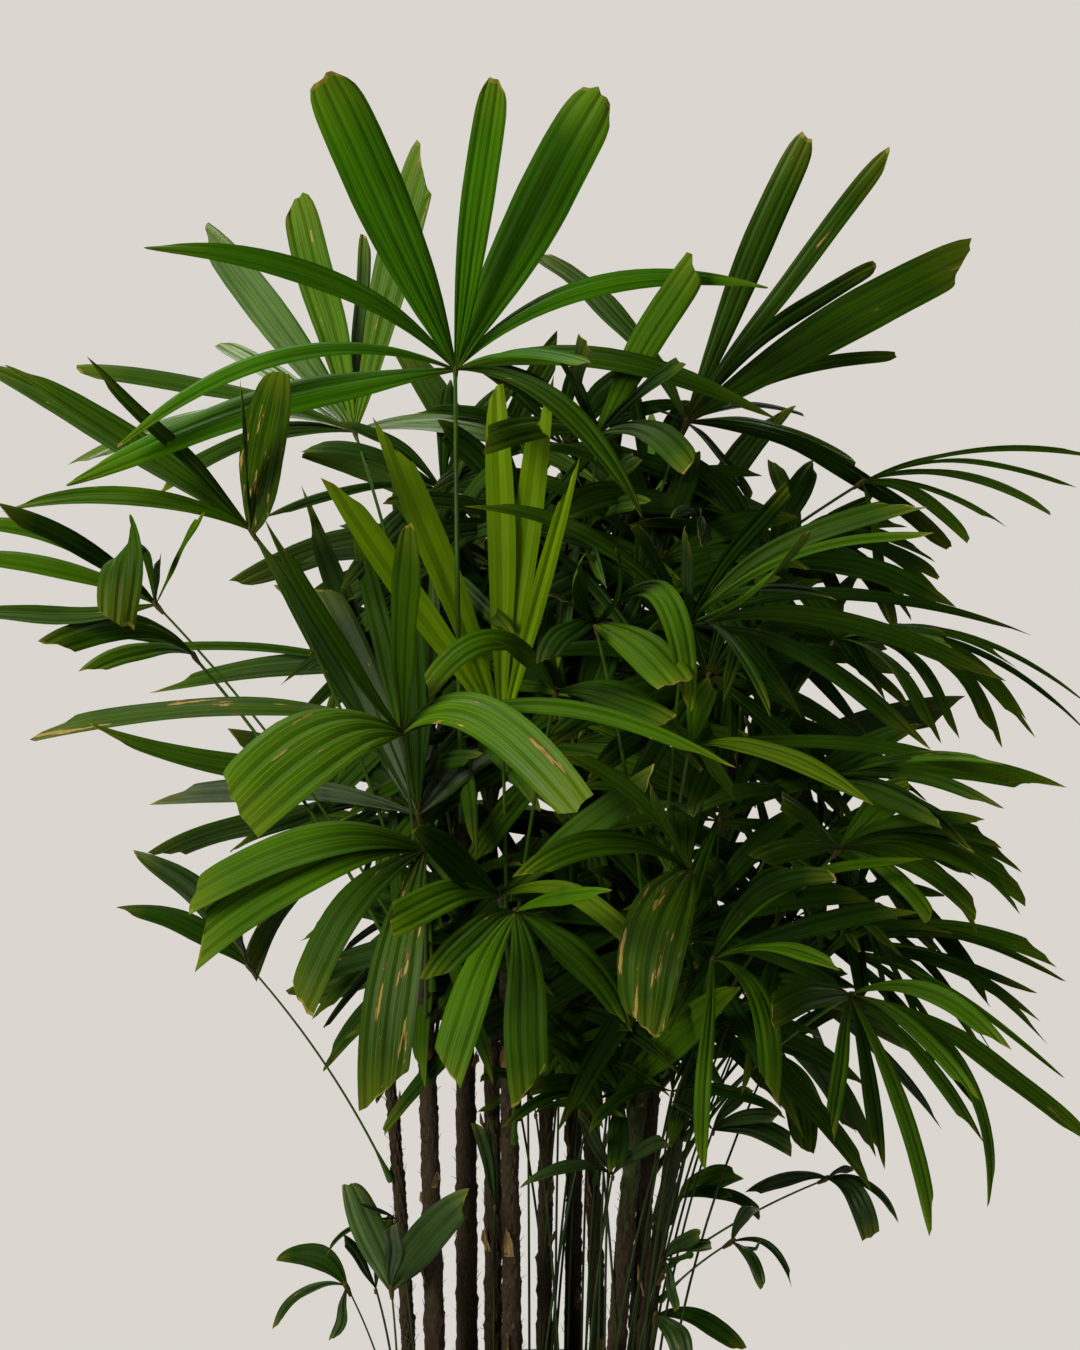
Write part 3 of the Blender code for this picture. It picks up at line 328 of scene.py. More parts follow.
def modelBlade(folds, outline):
    deselectAll()
    rows = blade["rows"]
    bpy.ops.mesh.primitive_grid_add(x_subdivisions=folds, y_subdivisions=len(rows) - 1, size=1)
    piece = bpy.context.active_object
    bpy.ops.object.mode_set(mode="EDIT")
    bpy.ops.mesh.select_mode(type="VERT")
    bpy.ops.transform.translate(value=(0, 0.5, 0))
    mesh = bmesh.from_edit_mesh(piece.data)
    # Every other fold line is lifted, which makes the pleats
    for line in range(0, folds + 1, 2):
        for vert in mesh.verts:
            vert.select_set(abs(vert.co.x - (line / folds - 0.5)) < 1e-4)
        bpy.ops.transform.translate(value=(0, 0, blade["pleat"] / folds))
    # The rows narrow to the outline and move to their places, well aside so that no moved row is taken twice
    for order in range(len(rows) - 1, -1, -1):
        y = order / (len(rows) - 1)
        narrow = widthAt(outline, rows[order])
        rowsOf(mesh, y)
        deep = narrow * (1.0 + blade["steeper"] * (1 - narrow))
        bpy.ops.transform.resize(value=(narrow, 1, deep), center_override=(0, y, 0))
        bpy.ops.transform.translate(value=(0, (rows[order] - y) + blade["aside"], 0))
    bpy.ops.mesh.select_all(action="SELECT")
    bpy.ops.transform.translate(value=(0, -blade["aside"], 0))
    bpy.ops.transform.resize(value=(blade["width"], blade["length"], blade["width"]), center_override=(0, 0, 0))
    # The inner fold lines are bevelled into narrow ribs
    bpy.ops.mesh.select_mode(type="EDGE")
    bpy.ops.mesh.select_all(action="DESELECT")
    mesh = bmesh.from_edit_mesh(piece.data)
    for edge in mesh.edges:
        one, other = edge.verts
        inner = len(edge.link_faces) == 2
        edge.select_set(inner and abs(one.co.y - other.co.y) > 1e-4)
    bpy.ops.mesh.bevel(offset=blade["rib"] / 2, segments=1, affect="EDGES", clamp_overlap=True)
    bpy.ops.object.mode_set(mode="OBJECT")
    shell = piece.modifiers.new("shell", "SOLIDIFY")
    shell.thickness = blade["thick"]
    shell.offset = 0
    bpy.ops.object.modifier_apply(modifier="shell")
    data = piece.data
    points = np.array([vert.co for vert in data.vertices])
    shares = points[:, 1] / blade["length"]
    half = np.array([widthAt(outline, share) for share in shares]) * blade["width"] / 2
    across = np.clip(points[:, 0] / np.maximum(half, 1e-5), -1, 1)
    faces, parts = [], []
    for face in data.polygons:
        corners = tuple(face.vertices)
        middle = face.center
        u = float(np.mean(across[list(corners)]))
        share = middle.y / blade["length"]
        line = (u + 1) / 2 * folds
        onRib = abs(line - round(line)) < blade["nearRib"] and 0 < round(line) < folds
        upright = max(abs(face.normal.z), abs(face.normal.y)) < blade["rimNormal"]
        if upright and abs(u) > blade["rimFrom"]:
            part = "rim"
        elif abs(face.normal.y) > blade["endNormal"]:
            part = "end"
        elif share > blade["tipFrom"]:
            part = "tip"
        elif onRib and round(line) % 2 == 0:
            part = "rib"
        else:
            part = "under" if face.normal.z < 0 else "blade"
        faces.append(corners)
        parts.append(part)
    bpy.data.objects.remove(piece)
    return {"points": points, "shares": shares, "across": across, "faces": faces, "parts": parts, "folds": folds}


bladeModels = {}
for folds in blade["folds"]:
    for outline in outlines:
        bladeModels[folds, outline] = modelBlade(folds, outline)
print("blades modelled,", len(bladeModels))


foldLimits = ((0.012, 2), (0.021, 3), (0.031, 4), (0.045, 5), (0.060, 6))


def foldsFor(width):
    for limit, folds in foldLimits:
        if width < limit:
            return folds
    return 7


def bowed(start, middle, end, share):
    rest = 1 - share
    return start * rest * rest + middle * (2 * share * rest) + end * share * share


class Curve:
    # A bowed line from hub to tip, with an upright for every place on it that may turn on the way
    def __init__(self, start, middle, end, way, face, twist=0.0):
        self.start, self.middle, self.end = start, middle, end
        self.way, self.face, self.twist, self.roll = way, face, twist, 0.0

    def place(self, share):
        return bowed(self.start, self.middle, self.end, share)

    def heading(self, share):
        return ((self.middle - self.start) * (1 - share) + (self.end - self.middle) * share).normalized()

    def frameAt(self, share):
        along = self.heading(share)
        out = self.way.rotation_difference(along) @ self.face
        turn = self.twist * share + self.roll * min(1.0, share * 3)
        if turn:
            out.rotate(Matrix.Rotation(turn, 3, along))
        return self.place(share), along.cross(out), out


# What differs from blade to blade: ends are cut aslant and nibbled fold by fold, and edges waver
bladeChance = {
    "slant": (0.02, 0.09), "round": 0.01, "roundBend": 2.5, "ragged": 0.018, "endFrom": 0.80, "endLong": 0.20,
    "endBend": 1.5, "gutter": (-0.10, 0.05), "wave": (0.0005, 0.0018), "phase": (0, 6), "pitch": (9, 16),
    "fullWave": 0.03, "drift": 1.6, "driftPitch": 0.45, "widen": 1.06, "flattest": 0.35, "dry": (0.0, 0.4, 0.8),
    "slimUnder": 0.009, "outlines": ("cut", "strap", "strap", "taper"), "stations": 41,
}


def layBlade(curve, width, model, chance, looks, order):
    # Lays a copy of a blade on its curve
    rule = bladeChance
    points, shares, across, folds = model["points"], model["shares"].copy(), model["across"], model["folds"]
    length = sum((curve.place((step + 1) / 12) - curve.place(step / 12)).length for step in range(12))
    lines = np.linspace(-1, 1, folds + 1)
    slant = looks.get("slant", chance.choice((-1, 1)) * chance.uniform(*rule["slant"]))
    roundness = looks.get("round", rule["round"])
    bite = np.array([abs(u) ** rule["roundBend"] * roundness + slant * u + abs(slant) for u in lines])
    bite += np.array([chance.uniform(0, looks.get("ragged", rule["ragged"])) for _ in lines])
    near = np.clip((shares - rule["endFrom"]) / rule["endLong"], 0, 1) ** rule["endBend"]
    shares -= np.interp(across, lines, bite) * near
    grid = np.linspace(0, 1, rule["stations"])
    frames = [curve.frameAt(float(share)) for share in grid]
    table = np.array([[*place, *side, *out] for place, side, out in frames])
    rows = np.stack([np.interp(shares, grid, table[:, column]) for column in range(9)], axis=1)
    scale = width * rule["widen"] / blade["width"]
    gutter = looks.get("gutter", chance.uniform(*rule["gutter"])) * width
    wave, phase, pitch = [chance.uniform(*rule[key]) for key in ("wave", "phase", "pitch")]
    body = np.clip(shares * 4, 0, 1)
    lift = points[:, 2] * max(scale, rule["flattest"]) + gutter * across ** 2 * body
    waver = wave * np.sin(shares * pitch + phase + across) * np.abs(across) * body
    lift = lift + waver * min(1, width / rule["fullWave"])
    drift = wave * rule["drift"] * np.sin(shares * pitch * rule["driftPitch"] + phase * 2) * np.sin(shares * pi)
    sideways = points[:, 0] * scale + drift
    laid = rows[:, 0:3] + rows[:, 3:6] * sideways[:, None] + rows[:, 6:9] * lift[:, None]
    maps = np.stack([(across * 0.5 + 0.5) * folds, shares], axis=1)
    metres = np.stack([points[:, 0] * scale + order * 0.17, shares * length + order * 0.61], axis=1)
    return laid, maps, metres


class Spray:
    # Gathers blades, stalks and hubs into one piece with a slot for each finish
    def __init__(self, name, seed):
        self.name, self.chance = name, Random(seed)
        self.points, self.maps, self.metres, self.faces, self.slots = [], [], [], [], []
        self.finishes, self.count, self.blades = [], 0, 0

    def slotOf(self, finish):
        if finish not in self.finishes:
            self.finishes.append(finish)
        return self.finishes.index(finish)

    def add(self, points, maps, metres, faces, slots):
        self.points.append(points)
        self.maps.append(maps)
        self.metres.append(metres)
        self.faces.extend([tuple(corner + self.count for corner in face) for face in faces])
        self.slots.extend(slots)
        self.count += len(points)

    def addBlade(self, curve, width, tone, looks=None):
        looks = looks or {}
        self.blades += 1
        rule = bladeChance
        usual = "slim" if width < rule["slimUnder"] else self.chance.choice(rule["outlines"])
        outline = looks.get("outline", usual)
        model = bladeModels[looks.get("folds", foldsFor(width)), outline]
        laid, maps, metres = layBlade(curve, width, model, self.chance, looks, self.blades)
        top, rib = self.slotOf(leafFinishes[tone]), self.slotOf(leafFinishes[tone + "Rib"])
        under = self.slotOf(leafFinishes[tone + "Under"])
        yellow, dry = self.slotOf(finishes["tipYellow"]), self.slotOf(finishes["tipTan"])
        dryness = looks.get("dry", self.chance.choice(rule["dry"]))
        slots = []
        for part in model["parts"]:
            if part == "tip":
                slots.append(yellow if self.chance.random() < dryness else top)
            else:
                slots.append({"blade": top, "rib": rib, "under": under, "rim": rib, "end": dry}[part])
        self.add(laid, maps, metres, model["faces"], slots)

    def addPlain(self, points, faces, finish):
        # Faces of one finish that need no maps
        flat = np.zeros((len(points), 2))
        self.add(np.array(points), flat, flat, faces, [self.slotOf(finish)] * len(faces))

    def addTube(self, places, radii, sides, finish):
        # A round stalk through the places given, closed at both ends
        points, faces = [], []
        side = Vector((0, -1, 0))
        for order, place in enumerate(places):
            ahead = places[min(order + 1, len(places) - 1)] - places[max(order - 1, 0)]
            along = ahead.normalized()
            side = (side - along * side.dot(along)).normalized()
            other = along.cross(side)
            for turn in range(sides):
                angle = 2 * pi * turn / sides
                points.append(place + (side * cos(angle) + other * sin(angle)) * radii[order])
        for ring in range(len(places) - 1):
            for turn in range(sides):
                after = (turn + 1) % sides
                low, high = ring * sides, ring * sides + sides
                faces.append((low + turn, low + after, high + after, high + turn))
        faces.append(tuple(reversed(range(sides))))
        faces.append(tuple((len(places) - 1) * sides + turn for turn in range(sides)))
        self.addPlain(points, faces, finish)

    def build(self):
        points = np.concatenate(self.points)
        mesh = bpy.data.meshes.new(self.name)
        mesh.from_pydata(points.tolist(), [], self.faces)
        for finish in self.finishes:
            mesh.materials.append(finish)
        mesh.polygons.foreach_set("material_index", self.slots)
        corners = np.zeros(len(mesh.loops), dtype=int)
        mesh.loops.foreach_get("vertex_index", corners)
        for name, values in (("bladeShare", self.maps), ("bladeMetres", self.metres)):
            layer = mesh.uv_layers.new(name=name)
            layer.data.foreach_set("uv", np.concatenate(values)[corners].ravel())
        piece = bpy.data.objects.new(self.name, mesh)
        bpy.context.scene.collection.objects.link(piece)
        smooth(piece, 16)
        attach(piece, "root")
        return piece


# Fronds. For each: the hub, how far the fan is turned (degrees, its right side to the back), how long its
# fingers are (centimetres, below zero where those that look short point away), its tone with words for all its
# fingers or its stalk, and the fingers: bearing on the front view, reach there, width and upward bow in
# centimetres, for a few how far the tip comes forward, and words of its own. A last group holds thin extra
# leaflets that lie between the fingers of the imported model. Among the words, a name is a tone or an outline.
# at=, reach=, bow= and deep= show the finger elsewhere than the imported one, ahead= brings its tip forward, bend=
# moves its bow, wide= is a share of its width, roll= and twist= turn it in degrees, folds= is how many pleats it
# has, slant=, round= and ragged= shape its end, and dry= is the chance of a yellowed tip.
# The deep and dark tones of the fronds on the right and inside the clump are partly their own green, partly painted
# shade.
fronds = {
    "frond_crown": ((-0.092, -0.06, 1.365), 18, 36, "crown blunt slant=0.01 round=0.03 stalk=0.0025 stalkAhead=0.11", (
        (-112, 34, 4.5, 3.5, "crown taper at=-106.6 reach=42.5 bow=2 wide=0.85"),
        (-102, 36, 1.6, 5.0, "crown slim wide=1.25 at=-103.5 reach=36.5 bow=5.3 ahead=3"),
        (-69, 35, 2.8, 4.0, "crown taper wide=0.9 roll=-10"), (-24, 34, 5.4, 0.5, "crown roll=-22 folds=7 dry=1"),
        (8, 31, 3.2, 0.3, "crown roll=-14 dry=1"), (28, 33, 5.5, 0.5),
        (76, 32, 2.5, 5.0, "crown taper reach=34 wide=0.9"), (88, 14, 2.0, 1.5), (99, 34, 3.0, 3.5, "dark taper"),
        (129, 25, 3.0, 4.0, "dark taper"))),
    "frond_crown_back": ((-0.206, 0.1, 1.315), -20, -32, "sage blunt round=0.02 stalkAhead=0.09", (
        (-107, 23, 3.0, 2.5), (-98, 32, 2.0, 4.0), (-78, 32, 2.0, 1.5), (-57, 18, 2.2, 0.5),
        (-37, 25, 5.0, 0.5, "sage strap reach=29 wide=0.8 folds=5"), (-14, 27, 4.4, 0.3, "fresh wide=0.9"),
        (3, 22, 1.5, 0.3), (12, 31, 4.5, 0.3, "fresh wide=1.0 at=14.5 reach=33.5"),
        (107, 24, 3.5, 3.5, "sage taper at=104 reach=29 bow=3.5 ahead=6 wide=0.85"))),
    "frond_left_high": ((-0.298, -0.1, 1.198), -25, 34, "sage", (
        (-86, 26, 2.2, 2.5, "mid taper"), (-62, 34, 4.0, 1.5, "dark taper at=-59 wide=0.8"),
        (-54, 31, 2.4, 1.0, "dark taper at=-56"), (-44, 25, 2.4, 0.3, "dark slim wide=0.6"),
        (-4, 16, 1.8, 0.3, "dark wide=0.9"),
        (10, 18, 5.4, 0.5, "worn oval ahead=17 wide=1.05 reach=17 deep=3 roll=0 twist=0"))),
    "frond_left_folded": ((-0.392, -0.12, 1.122), -20, 24, "dark stalk=0.0014", (
        (-125, 5, 4.2, 8.0, 14, "dark cut folds=6"), (-91, 22, 2.2, -1.0), (-77, 21, 2.8, 1.5, "mid strap wide=0.7"),
        (-68, 22, 2.5, 2.5, "mid strap wide=0.7"), (-60, 19, 2.0, 1.5), (5, 5, 1.0, 0.3), (27, 11, 1.2, 0.5))),
    "frond_left_short": ((-0.367, -0.02, 1.072), 20, 18, "dark", (
        (-101, 12, 2.0, 1.5, "mid strap"), (-90, 16, 4.0, 3.0, "dark cut wide=0.7"), (-76, 11, 2.0, 1.0))),
    "frond_left_level": ((-0.158, 0.12, 1.056), -15, -28, "dark", (
        (-150, 15, 3.0, 1.0), (-95, 28, 2.8, 1.5), (-85, 28, 1.0, 1.0), (-58, 17, 2.2, 1.0), (60, 15, 3.0, 1.0),
        (140, 16, 3.0, 2.0))),
    "frond_right_high": ((0.15, 0.04, 1.32), 22, -37, "dark blunt slant=0.015 round=0.02", (
        (-78, 15, 2.0, 1.0), (-41, 24, 3.5, 2.5), (23, 34, 3.3, 0.4, "dark blunt roll=-16 twist=0 dry=1"),
        (37, 37, 2.2, 0.4, "dark blunt roll=-16 twist=0 dry=1"), (51, 27, 2.0, 2.0, "dark"),
        (60, 37, 5.0, 0.8, "dark blunt slant=0.05"), (73, 24, 1.6, 2.0), (88, 13, 1.0, 1.5), (104, 19, 2.5, 1.5),
        (116, 32, 3.0, 3.5), (140, 11, 2.4, 0.5))),
    "frond_middle_high": ((0.055, 0.0, 1.301), 0, 24, "dark blunt", (
        (-95, 13, 3.0, 1.5), (-60, 14, 3.0, 1.0), (-24, 9, 3.0, 0.3), (-6, 21, 3.0, 0.3, "deep cut reach=10.5"),
        (30, 22, 3.4, 0.5, "mid cut"), (50, 13, 2.6, 0.5), (110, 11, 3.0, 2.5))),
    "frond_right_fan": ((0.141, -0.14, 1.1), 20, 35, "deep wide=0.85", (
        (0, 9.5, 3.2, 0.3), (37, 18, 1.9, 0.5), (52, 16, 4.6, 0.5), (63, 28, 2.6, 2.5), (71, 27, 1.2, 3.0),
        (81, 16, 1.2, 2.5), (92, 35, 1.6, 4.0), (101, 33, 3.0, 3.5),
        (118, 28, 3.2, 5.0, "deep strap wide=0.62 bow=3"), (137, 13, 1.3, 3.0)), (
        (-62, 26, 2.2, 3.5, 8, "dark taper"), (-28, 12, 2.4, 0.5, 6, "deep"))),
    "frond_front_left": ((-0.137, -0.26, 0.995), -10, 37, "fresh", (
        (-113, 17, 7.0, 4.5, 12, "fresh cut slant=0.05 at=-117 reach=19 bow=3 ahead=4 bend=0.35 wide=1.05"),
        (-95, 29, 2.5, -2.0, "dark taper at=-88 reach=31 bow=-3.6 ahead=-8"),
        (-88, 37, 3.0, 3.0, "worn cut at=-91 wide=0.75 ragged=0.04 slant=0.05"),
        (-42, 27, 2.0, 4.0, "mid slim at=-32 reach=25 bow=-1 wide=0.8"),
        (-16, 30, 4.5, 0.2, "dark strap at=2 reach=21 wide=0.75"),
        (97, 33, 1.6, 3.0, "mid slim ahead=-6 wide=0.95 bow=4"),
        (113, 19, 4.8, 6.5, 10, "fresh cut slant=0.01 at=114 reach=19 bow=4.5 ahead=6 bend=0.20 wide=0.85"))),
    "frond_young": ((-0.043, -0.1, 0.99), 10, 36, "lime", (
        (-34, 33, 2.6, 0.3, "lime strap wide=1.05 folds=2 roll=-25"),
        (-21, 36, 3.2, 0.3, "lime strap wide=1.0 folds=2"),
        (-1, 35, 2.8, 0.2, "lime strap wide=0.98 folds=2 reach=36.5"),
        (7, 35, 3.0, 0.2, "lime strap wide=0.9 folds=2 reach=37.5"), (15, 30, 1.7, 0.4, "lime slim folds=2"))),
    "frond_middle": ((0.05, -0.16, 1.102), 0, 20, "deep", (
        (-130, 7, 2.6, 1.5), (-58, 5, 2.2, 0.3), (-8, 7, 3.0, 0.2), (14, 8, 2.2, 0.2), (136, 13, 2.6, 8.0, 8),
        (135, 9.5, 4.5, 4.0, 14, "fresh cut slant=0.02 at=127 reach=10.5 bow=1 wide=0.9"))),
    "frond_middle_arched": ((0.011, -0.18, 1.034), 0, 20, "mid", (
        (-86, 14, 3.2, 3.5, "mid cut wide=0.75 at=-93 bow=5.5 reach=13.5"), (-50, 8, 1.6, 0.5), (105, 12, 2.2, 1.0),
        (119, 17, 2.8, 3.0, "dark taper"))),
    "frond_left_upright": ((-0.128, -0.11, 0.91), -20, -28, "slate", (
        (-87, 28, 2.6, 1.8), (-52, 13, 3.0, 1.0), (-24, 26, 4.5, 0.5, "slate cut wide=0.95"),
        (-4, 28, 3.8, 0.3, "deep wide=0.8"), (20, 15, 2.2, 0.3), (47, 14, 4.4, 0.5)), (
        (-30, 34, 2.4, 0.3, -16, "deep taper"), (-20, 36, 2.8, 0.3, -20, "deep taper"),
        (-12, 33, 2.4, 0.3, -14, "dark slim"), (2, 30, 2.6, 0.2, -16, "deep strap"))),
    "frond_left_low": ((-0.115, -0.28, 0.884), -20, 28, "mid", (
        (-176, 26, 6.0, 2.0, 8, "worn cut slant=-0.07 wide=0.8 at=-171 roll=-15"),
        (-142, 20, 4.8, 2.5, 6, "dark cut wide=0.8 bend=0.35"),
        (-111, 26, 4.0, 4.0, "mid cut slant=0.08 at=-115 bow=3 bend=0.35 ahead=4 roll=-18"),
        (-99, 24, 5.4, 4.5, "mid cut at=-103 bow=3 bend=0.35 wide=0.8"))),
    "frond_front_middle": ((-0.044, -0.24, 0.837), 0, 22, "dark", (
        (-101, 12, 6.0, 3.0, "mid cut wide=0.55 at=-106 bow=1.5"), (-51, 11, 4.4, 0.2, "deep"),
        (53, 20, 3.5, 0.3, "dark cut wide=0.9"), (113, 16, 2.4, 3.0, "olive cut wide=0.8"))),
    "frond_front_low": ((-0.028, -0.32, 0.829), 5, 24, "mid", (
        (-160, 18, 4.2, 1.5, 8, "mid cut folds=5 wide=0.85 slant=0.07 at=-158"), (-131, 11, 2.4, 1.5, "dark"),
        (79, 9.5, 1.8, 0.5), (137, 16, 3.0, 1.5, 5, "dark taper"),
        (176, 19, 4.4, 2.0, 10, "dark cut folds=5 slant=-0.09 wide=0.85"))),
    "frond_right_front": ((0.137, -0.28, 0.864), 10, 24, "mid", (
        (-166, 17, 6.0, 2.0, 8, "worn oval folds=6 bow=3 roll=-12 dry=1 slant=0.05"), (-95, 17, 2.4, 3.5),
        (-47, 17, 1.6, 2.0), (-26, 9, 1.6, 0.3), (3, 5, 3.3, 7.0, 12, "dark"))),
    "frond_right_bright": ((0.14, -0.24, 0.983), 20, 34, "fresh", (
        (-70, 8, 2.0, 0.5, 4), (20, 7, 2.4, 0.5, 3), (97, 34, 1.6, 2.0, "dark slim"),
        (109, 19, 3.2, 2.0, "olive taper wide=0.8"), (140, 7, 2.2, 0.5, 5))),
    "frond_right_low": ((0.163, -0.22, 0.774), 20, 24, "deep wide=0.85", (
        (-177, 21, 3.0, 1.5, 8, "mid strap wide=0.5"), (57, 15, 2.4, 3.0), (66, 23, 1.2, 3.5), (76, 21, 2.3, 1.0),
        (84, 24, 1.1, 2.5), (95, 13, 2.4, 1.5), (160, 16, 4.4, 5.0, "mid cut wide=0.6"))),
    "frond_left_lone": ((-0.3, -0.1, 0.755), -30, 18, "slate stalk=0.0012", (
        (-67, 15, 2.4, 1.5), (-46, 17, 2.7, 1.6), (-22, 5, 1.6, 0.3))),
    "frond_right_arching": ((0.351, 0.16, 1.264), 30, -28, "dark wide=0.9", (
        (84, 27, 1.1, 2.5, "fresh strap roll=80 twist=0"), (92, 24, 0.9, 3.0, "fresh strap roll=80 twist=0"),
        (100, 22, 1.3, 3.0, "fresh strap roll=80 twist=0"), (108, 17, 0.9, 2.0, "fresh strap roll=80 twist=0"),
        (119, 14, 1.9, 2.0, "mid strap roll=80 twist=0"), (170, 15, 2.6, 1.0))),
    "frond_right_behind": ((0.279, 0.12, 1.193), 20, -20, "deep wide=0.8", (
        (-60, 12, 3.0, 1.0), (-18, 10, 2.6, 0.4), (58, 10, 2.0, 0.5), (92, 11, 2.4, 1.0), (103, 16, 2.2, 2.0),
        (116, 13, 2.4, 1.0), (133, 14, 3.0, 3.0), (152, 9, 2.4, 1.0)), (
        (97, 15, 1.8, 2.5, "dark strap"), (110, 16, 1.8, 3.0, "dark strap"), (124, 15, 2.0, 3.0, "deep strap"),
        (80, 12, 1.6, 1.0, "dark strap"))),
    "frond_right_wide": ((0.307, 0.02, 1.088), 30, 29, "dark wide=0.72", (
        (-80, 9, 3.0, 1.0), (94, 13, 2.2, 1.0), (105, 28, 1.0, 4.0), (111, 29, 1.2, 4.5), (118, 24, 1.8, 4.5),
        (125, 21, 4.0, 5.5), (136, 16, 2.4, 3.0)), (
        (99, 20, 1.6, 2.5, "dark strap"), (114, 22, 2.0, 4.5, "mid strap"), (130, 17, 2.2, 4.0, "dark strap"),
        (86, 12, 1.4, 1.0, "deep slim"))),
    "frond_right_middle": ((0.266, -0.02, 0.931), -20, 28, "deep wide=0.75", (
        (-100, 12, 3.0, 1.0), (-40, 9, 3.0, 0.5), (61, 15, 3.4, 0.8), (76, 16, 1.0, 1.0), (91, 28, 3.6, 3.0),
        (104, 16, 2.4, 1.5)), (
        (97, 22, 1.8, 3.0, "dark strap"), (83, 22, 1.6, 2.0, "mid slim"), (112, 20, 1.8, 3.5, "deep strap"))),
    "frond_right_broad": ((0.297, -0.12, 0.875), 25, 20, "dark wide=0.78", (
        (-100, 9, 3.0, 1.0), (-50, 8, 3.0, 0.5), (48, 10, 4.0, 0.4), (89, 17, 2.6, 2.5), (104, 20, 4.4, 3.0),
        (116, 16, 3.0, 2.0), (128, 12, 2.2, 1.5)), (
        (97, 19, 1.8, 3.0, "dark strap"), (110, 20, 2.0, 4.0, "mid strap"), (122, 17, 1.8, 3.5, "dark strap"),
        (80, 15, 1.8, 2.0, "dark strap"))),
    "frond_right_spray": ((0.295, 0.06, 0.756), -25, -30, "deep wide=0.72", (
        (84, 13, 2.0, 1.0), (93, 26, 3.0, 3.0), (102, 24, 1.4, 2.0), (109, 25, 1.8, 3.0), (118, 30, 1.0, 2.5),
        (127, 24, 1.1, 4.0)), (
        (88, 22, 1.6, 2.5, "dark strap"), (98, 27, 1.4, 3.5, "dark slim"), (113, 27, 1.4, 4.0, "mid slim"),
        (135, 20, 1.4, 4.0, "dark slim"))),
    "frond_right_hanging": ((0.303, -0.16, 0.733), 20, 29, "dark", (
        (-172, 15, 1.5, 0.5), (-105, 9, 3.0, 1.0), (111, 17, 3.6, 3.0, "mid strap wide=0.55"),
        (122, 29, 4.0, 2.0, "mid strap wide=0.55"), (131, 17, 2.4, 2.0, "mid strap wide=0.65"),
        (139, 20, 3.0, 1.5, "dark strap wide=0.5"), (148, 22, 1.3, 3.5, "dark slim bow=6 reach=26"),
        (158, 25, 3.0, 2.5, "mid strap wide=0.6 bow=1.5 at=161 reach=26"),
        (170, 18, 3.4, 0.5, "deep strap wide=0.5"))),
    "frond_right_drooping": ((0.24, 0.04, 0.652), -20, -14, "dark", (
        (-95, 8, 2.0, 0.5), (60, 9, 2.0, 0.5), (145, 11, 1.5, 1.0), (161, 12, 3.2, 1.0))),
    "frond_low_middle": ((0.079, -0.08, 0.62), 10, 18, "deep", (
        (-174, 8, 4.0, 0.2, "deep wide=0.5"), (-88, 10, 3.0, 1.5, "deep wide=0.6"),
        (-58, 9, 5.0, 1.8, "mid cut wide=0.8"), (28, 14, 3.2, 0.8), (47, 17, 4.4, 1.0, "mid taper wide=0.8"))),
    "frond_sucker_left": ((-0.157, -0.08, 0.424), 0, 14, "slate stalk=0.0012", (
        (-22, 12, 2.7, 0.5, "sage oval wide=1.25 roll=0"), (2, 7, 2.0, 0.2, "slate"),
        (41, 13, 3.8, 0.8, "slate oval"))),
    "frond_sucker_far_left": ((-0.207, -0.02, 0.414), -20, 9, "slate stalk=0.001", (
        (-165, 6, 1.2, -0.8), (-124, 9, 1.1, 2.0), (-70, 8, 2.6, 1.8))),
    "frond_low_right": ((0.193, -0.05, 0.466), 20, 8, "slate stalk=0.0012", (
        (40, 4.5, 1.8, 0.4), (84, 3, 0.8, 0.2), (128, 8, 0.8, 2.0), (146, 6, 1.3, 1.0))),
    "frond_low_far_right": ((0.299, 0.02, 0.519), -20, 9, "slate stalk=0.0012", (
        (-102, 9, 1.7, 1.0), (75, 3, 0.9, 0.2), (124, 9, 0.8, 2.0), (145, 8, 2.3, 1.8))),
    "frond_low_dark": ((0.143, 0.03, 0.496), 20, 9, "deep stalk=0.0012", (
        (72, 7.5, 2.8, 1.0), (90, 5.5, 1.2, 0.8), (103, 9, 1.3, 1.5))),
    "frond_low_front": ((0.114, -0.06, 0.392), 10, 10, "slate stalk=0.0012", (
        (113, 10, 2.1, 1.5), (148, 6, 2.4, 1.0))),
}

# Fronds that face away from the front, with their fingers dealt out evenly: hub, turn, reach and tone
farFronds = {
    "frond_far_1": ((-0.07, 0.28, 1.2), 194, 28, "mid"),
    "frond_far_2": ((0.15, 0.27, 1.11), 160, 29, "dark"),
    "frond_far_3": ((-0.19, 0.29, 0.88), 222, 25, "mid"),
    "frond_far_4": ((0.25, 0.24, 0.93), 140, 27, "dark"),
    "frond_far_5": ((0.03, 0.34, 0.88), 180, 25, "sage"),
    "frond_far_6": ((0.2, 0.25, 0.69), 150, 24, "mid"),
    "frond_far_7": ((-0.06, 0.28, 0.71), 200, 22, "dark"),
}
farFan = {
    "bearings": (-145, -105, -68, -25, 18, 62, 100, 140), "widths": (3.6, 3.1), "depths": (0.45, 0.25),
    "shorter": 0.08, "bow": 0.10,
}
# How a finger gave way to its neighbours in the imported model: shorter, and its tip further forward
shorterBy = (1.0, 0.85, 0.7, 0.55)
forwardBy = (0, 3, -3, 6, -6, 9, -9, 12, -12, 15, -15, 18, -18)
fan = {
    "faceUp": radians(28), "rootReach": 0.022, "hub": 0.013, "thick": 0.0022, "close": 0.004, "droop": 0.15,
    "narrowStations": ((0.48, 1.0), (1.0, 0.45)), "wideStations": ((0.24, 0.54), (0.62, 1.0), (1.0, 0.45)),
    "same": 0.0008, "apart": 0.0004, "nearEnd": 0.8, "bend": 0.42, "twist": 16,
}
stalk = {"radius": 0.0019, "foot": 0.0040, "footLength": 0.030, "sunk": 0.003, "sides": 8, "rings": 16}


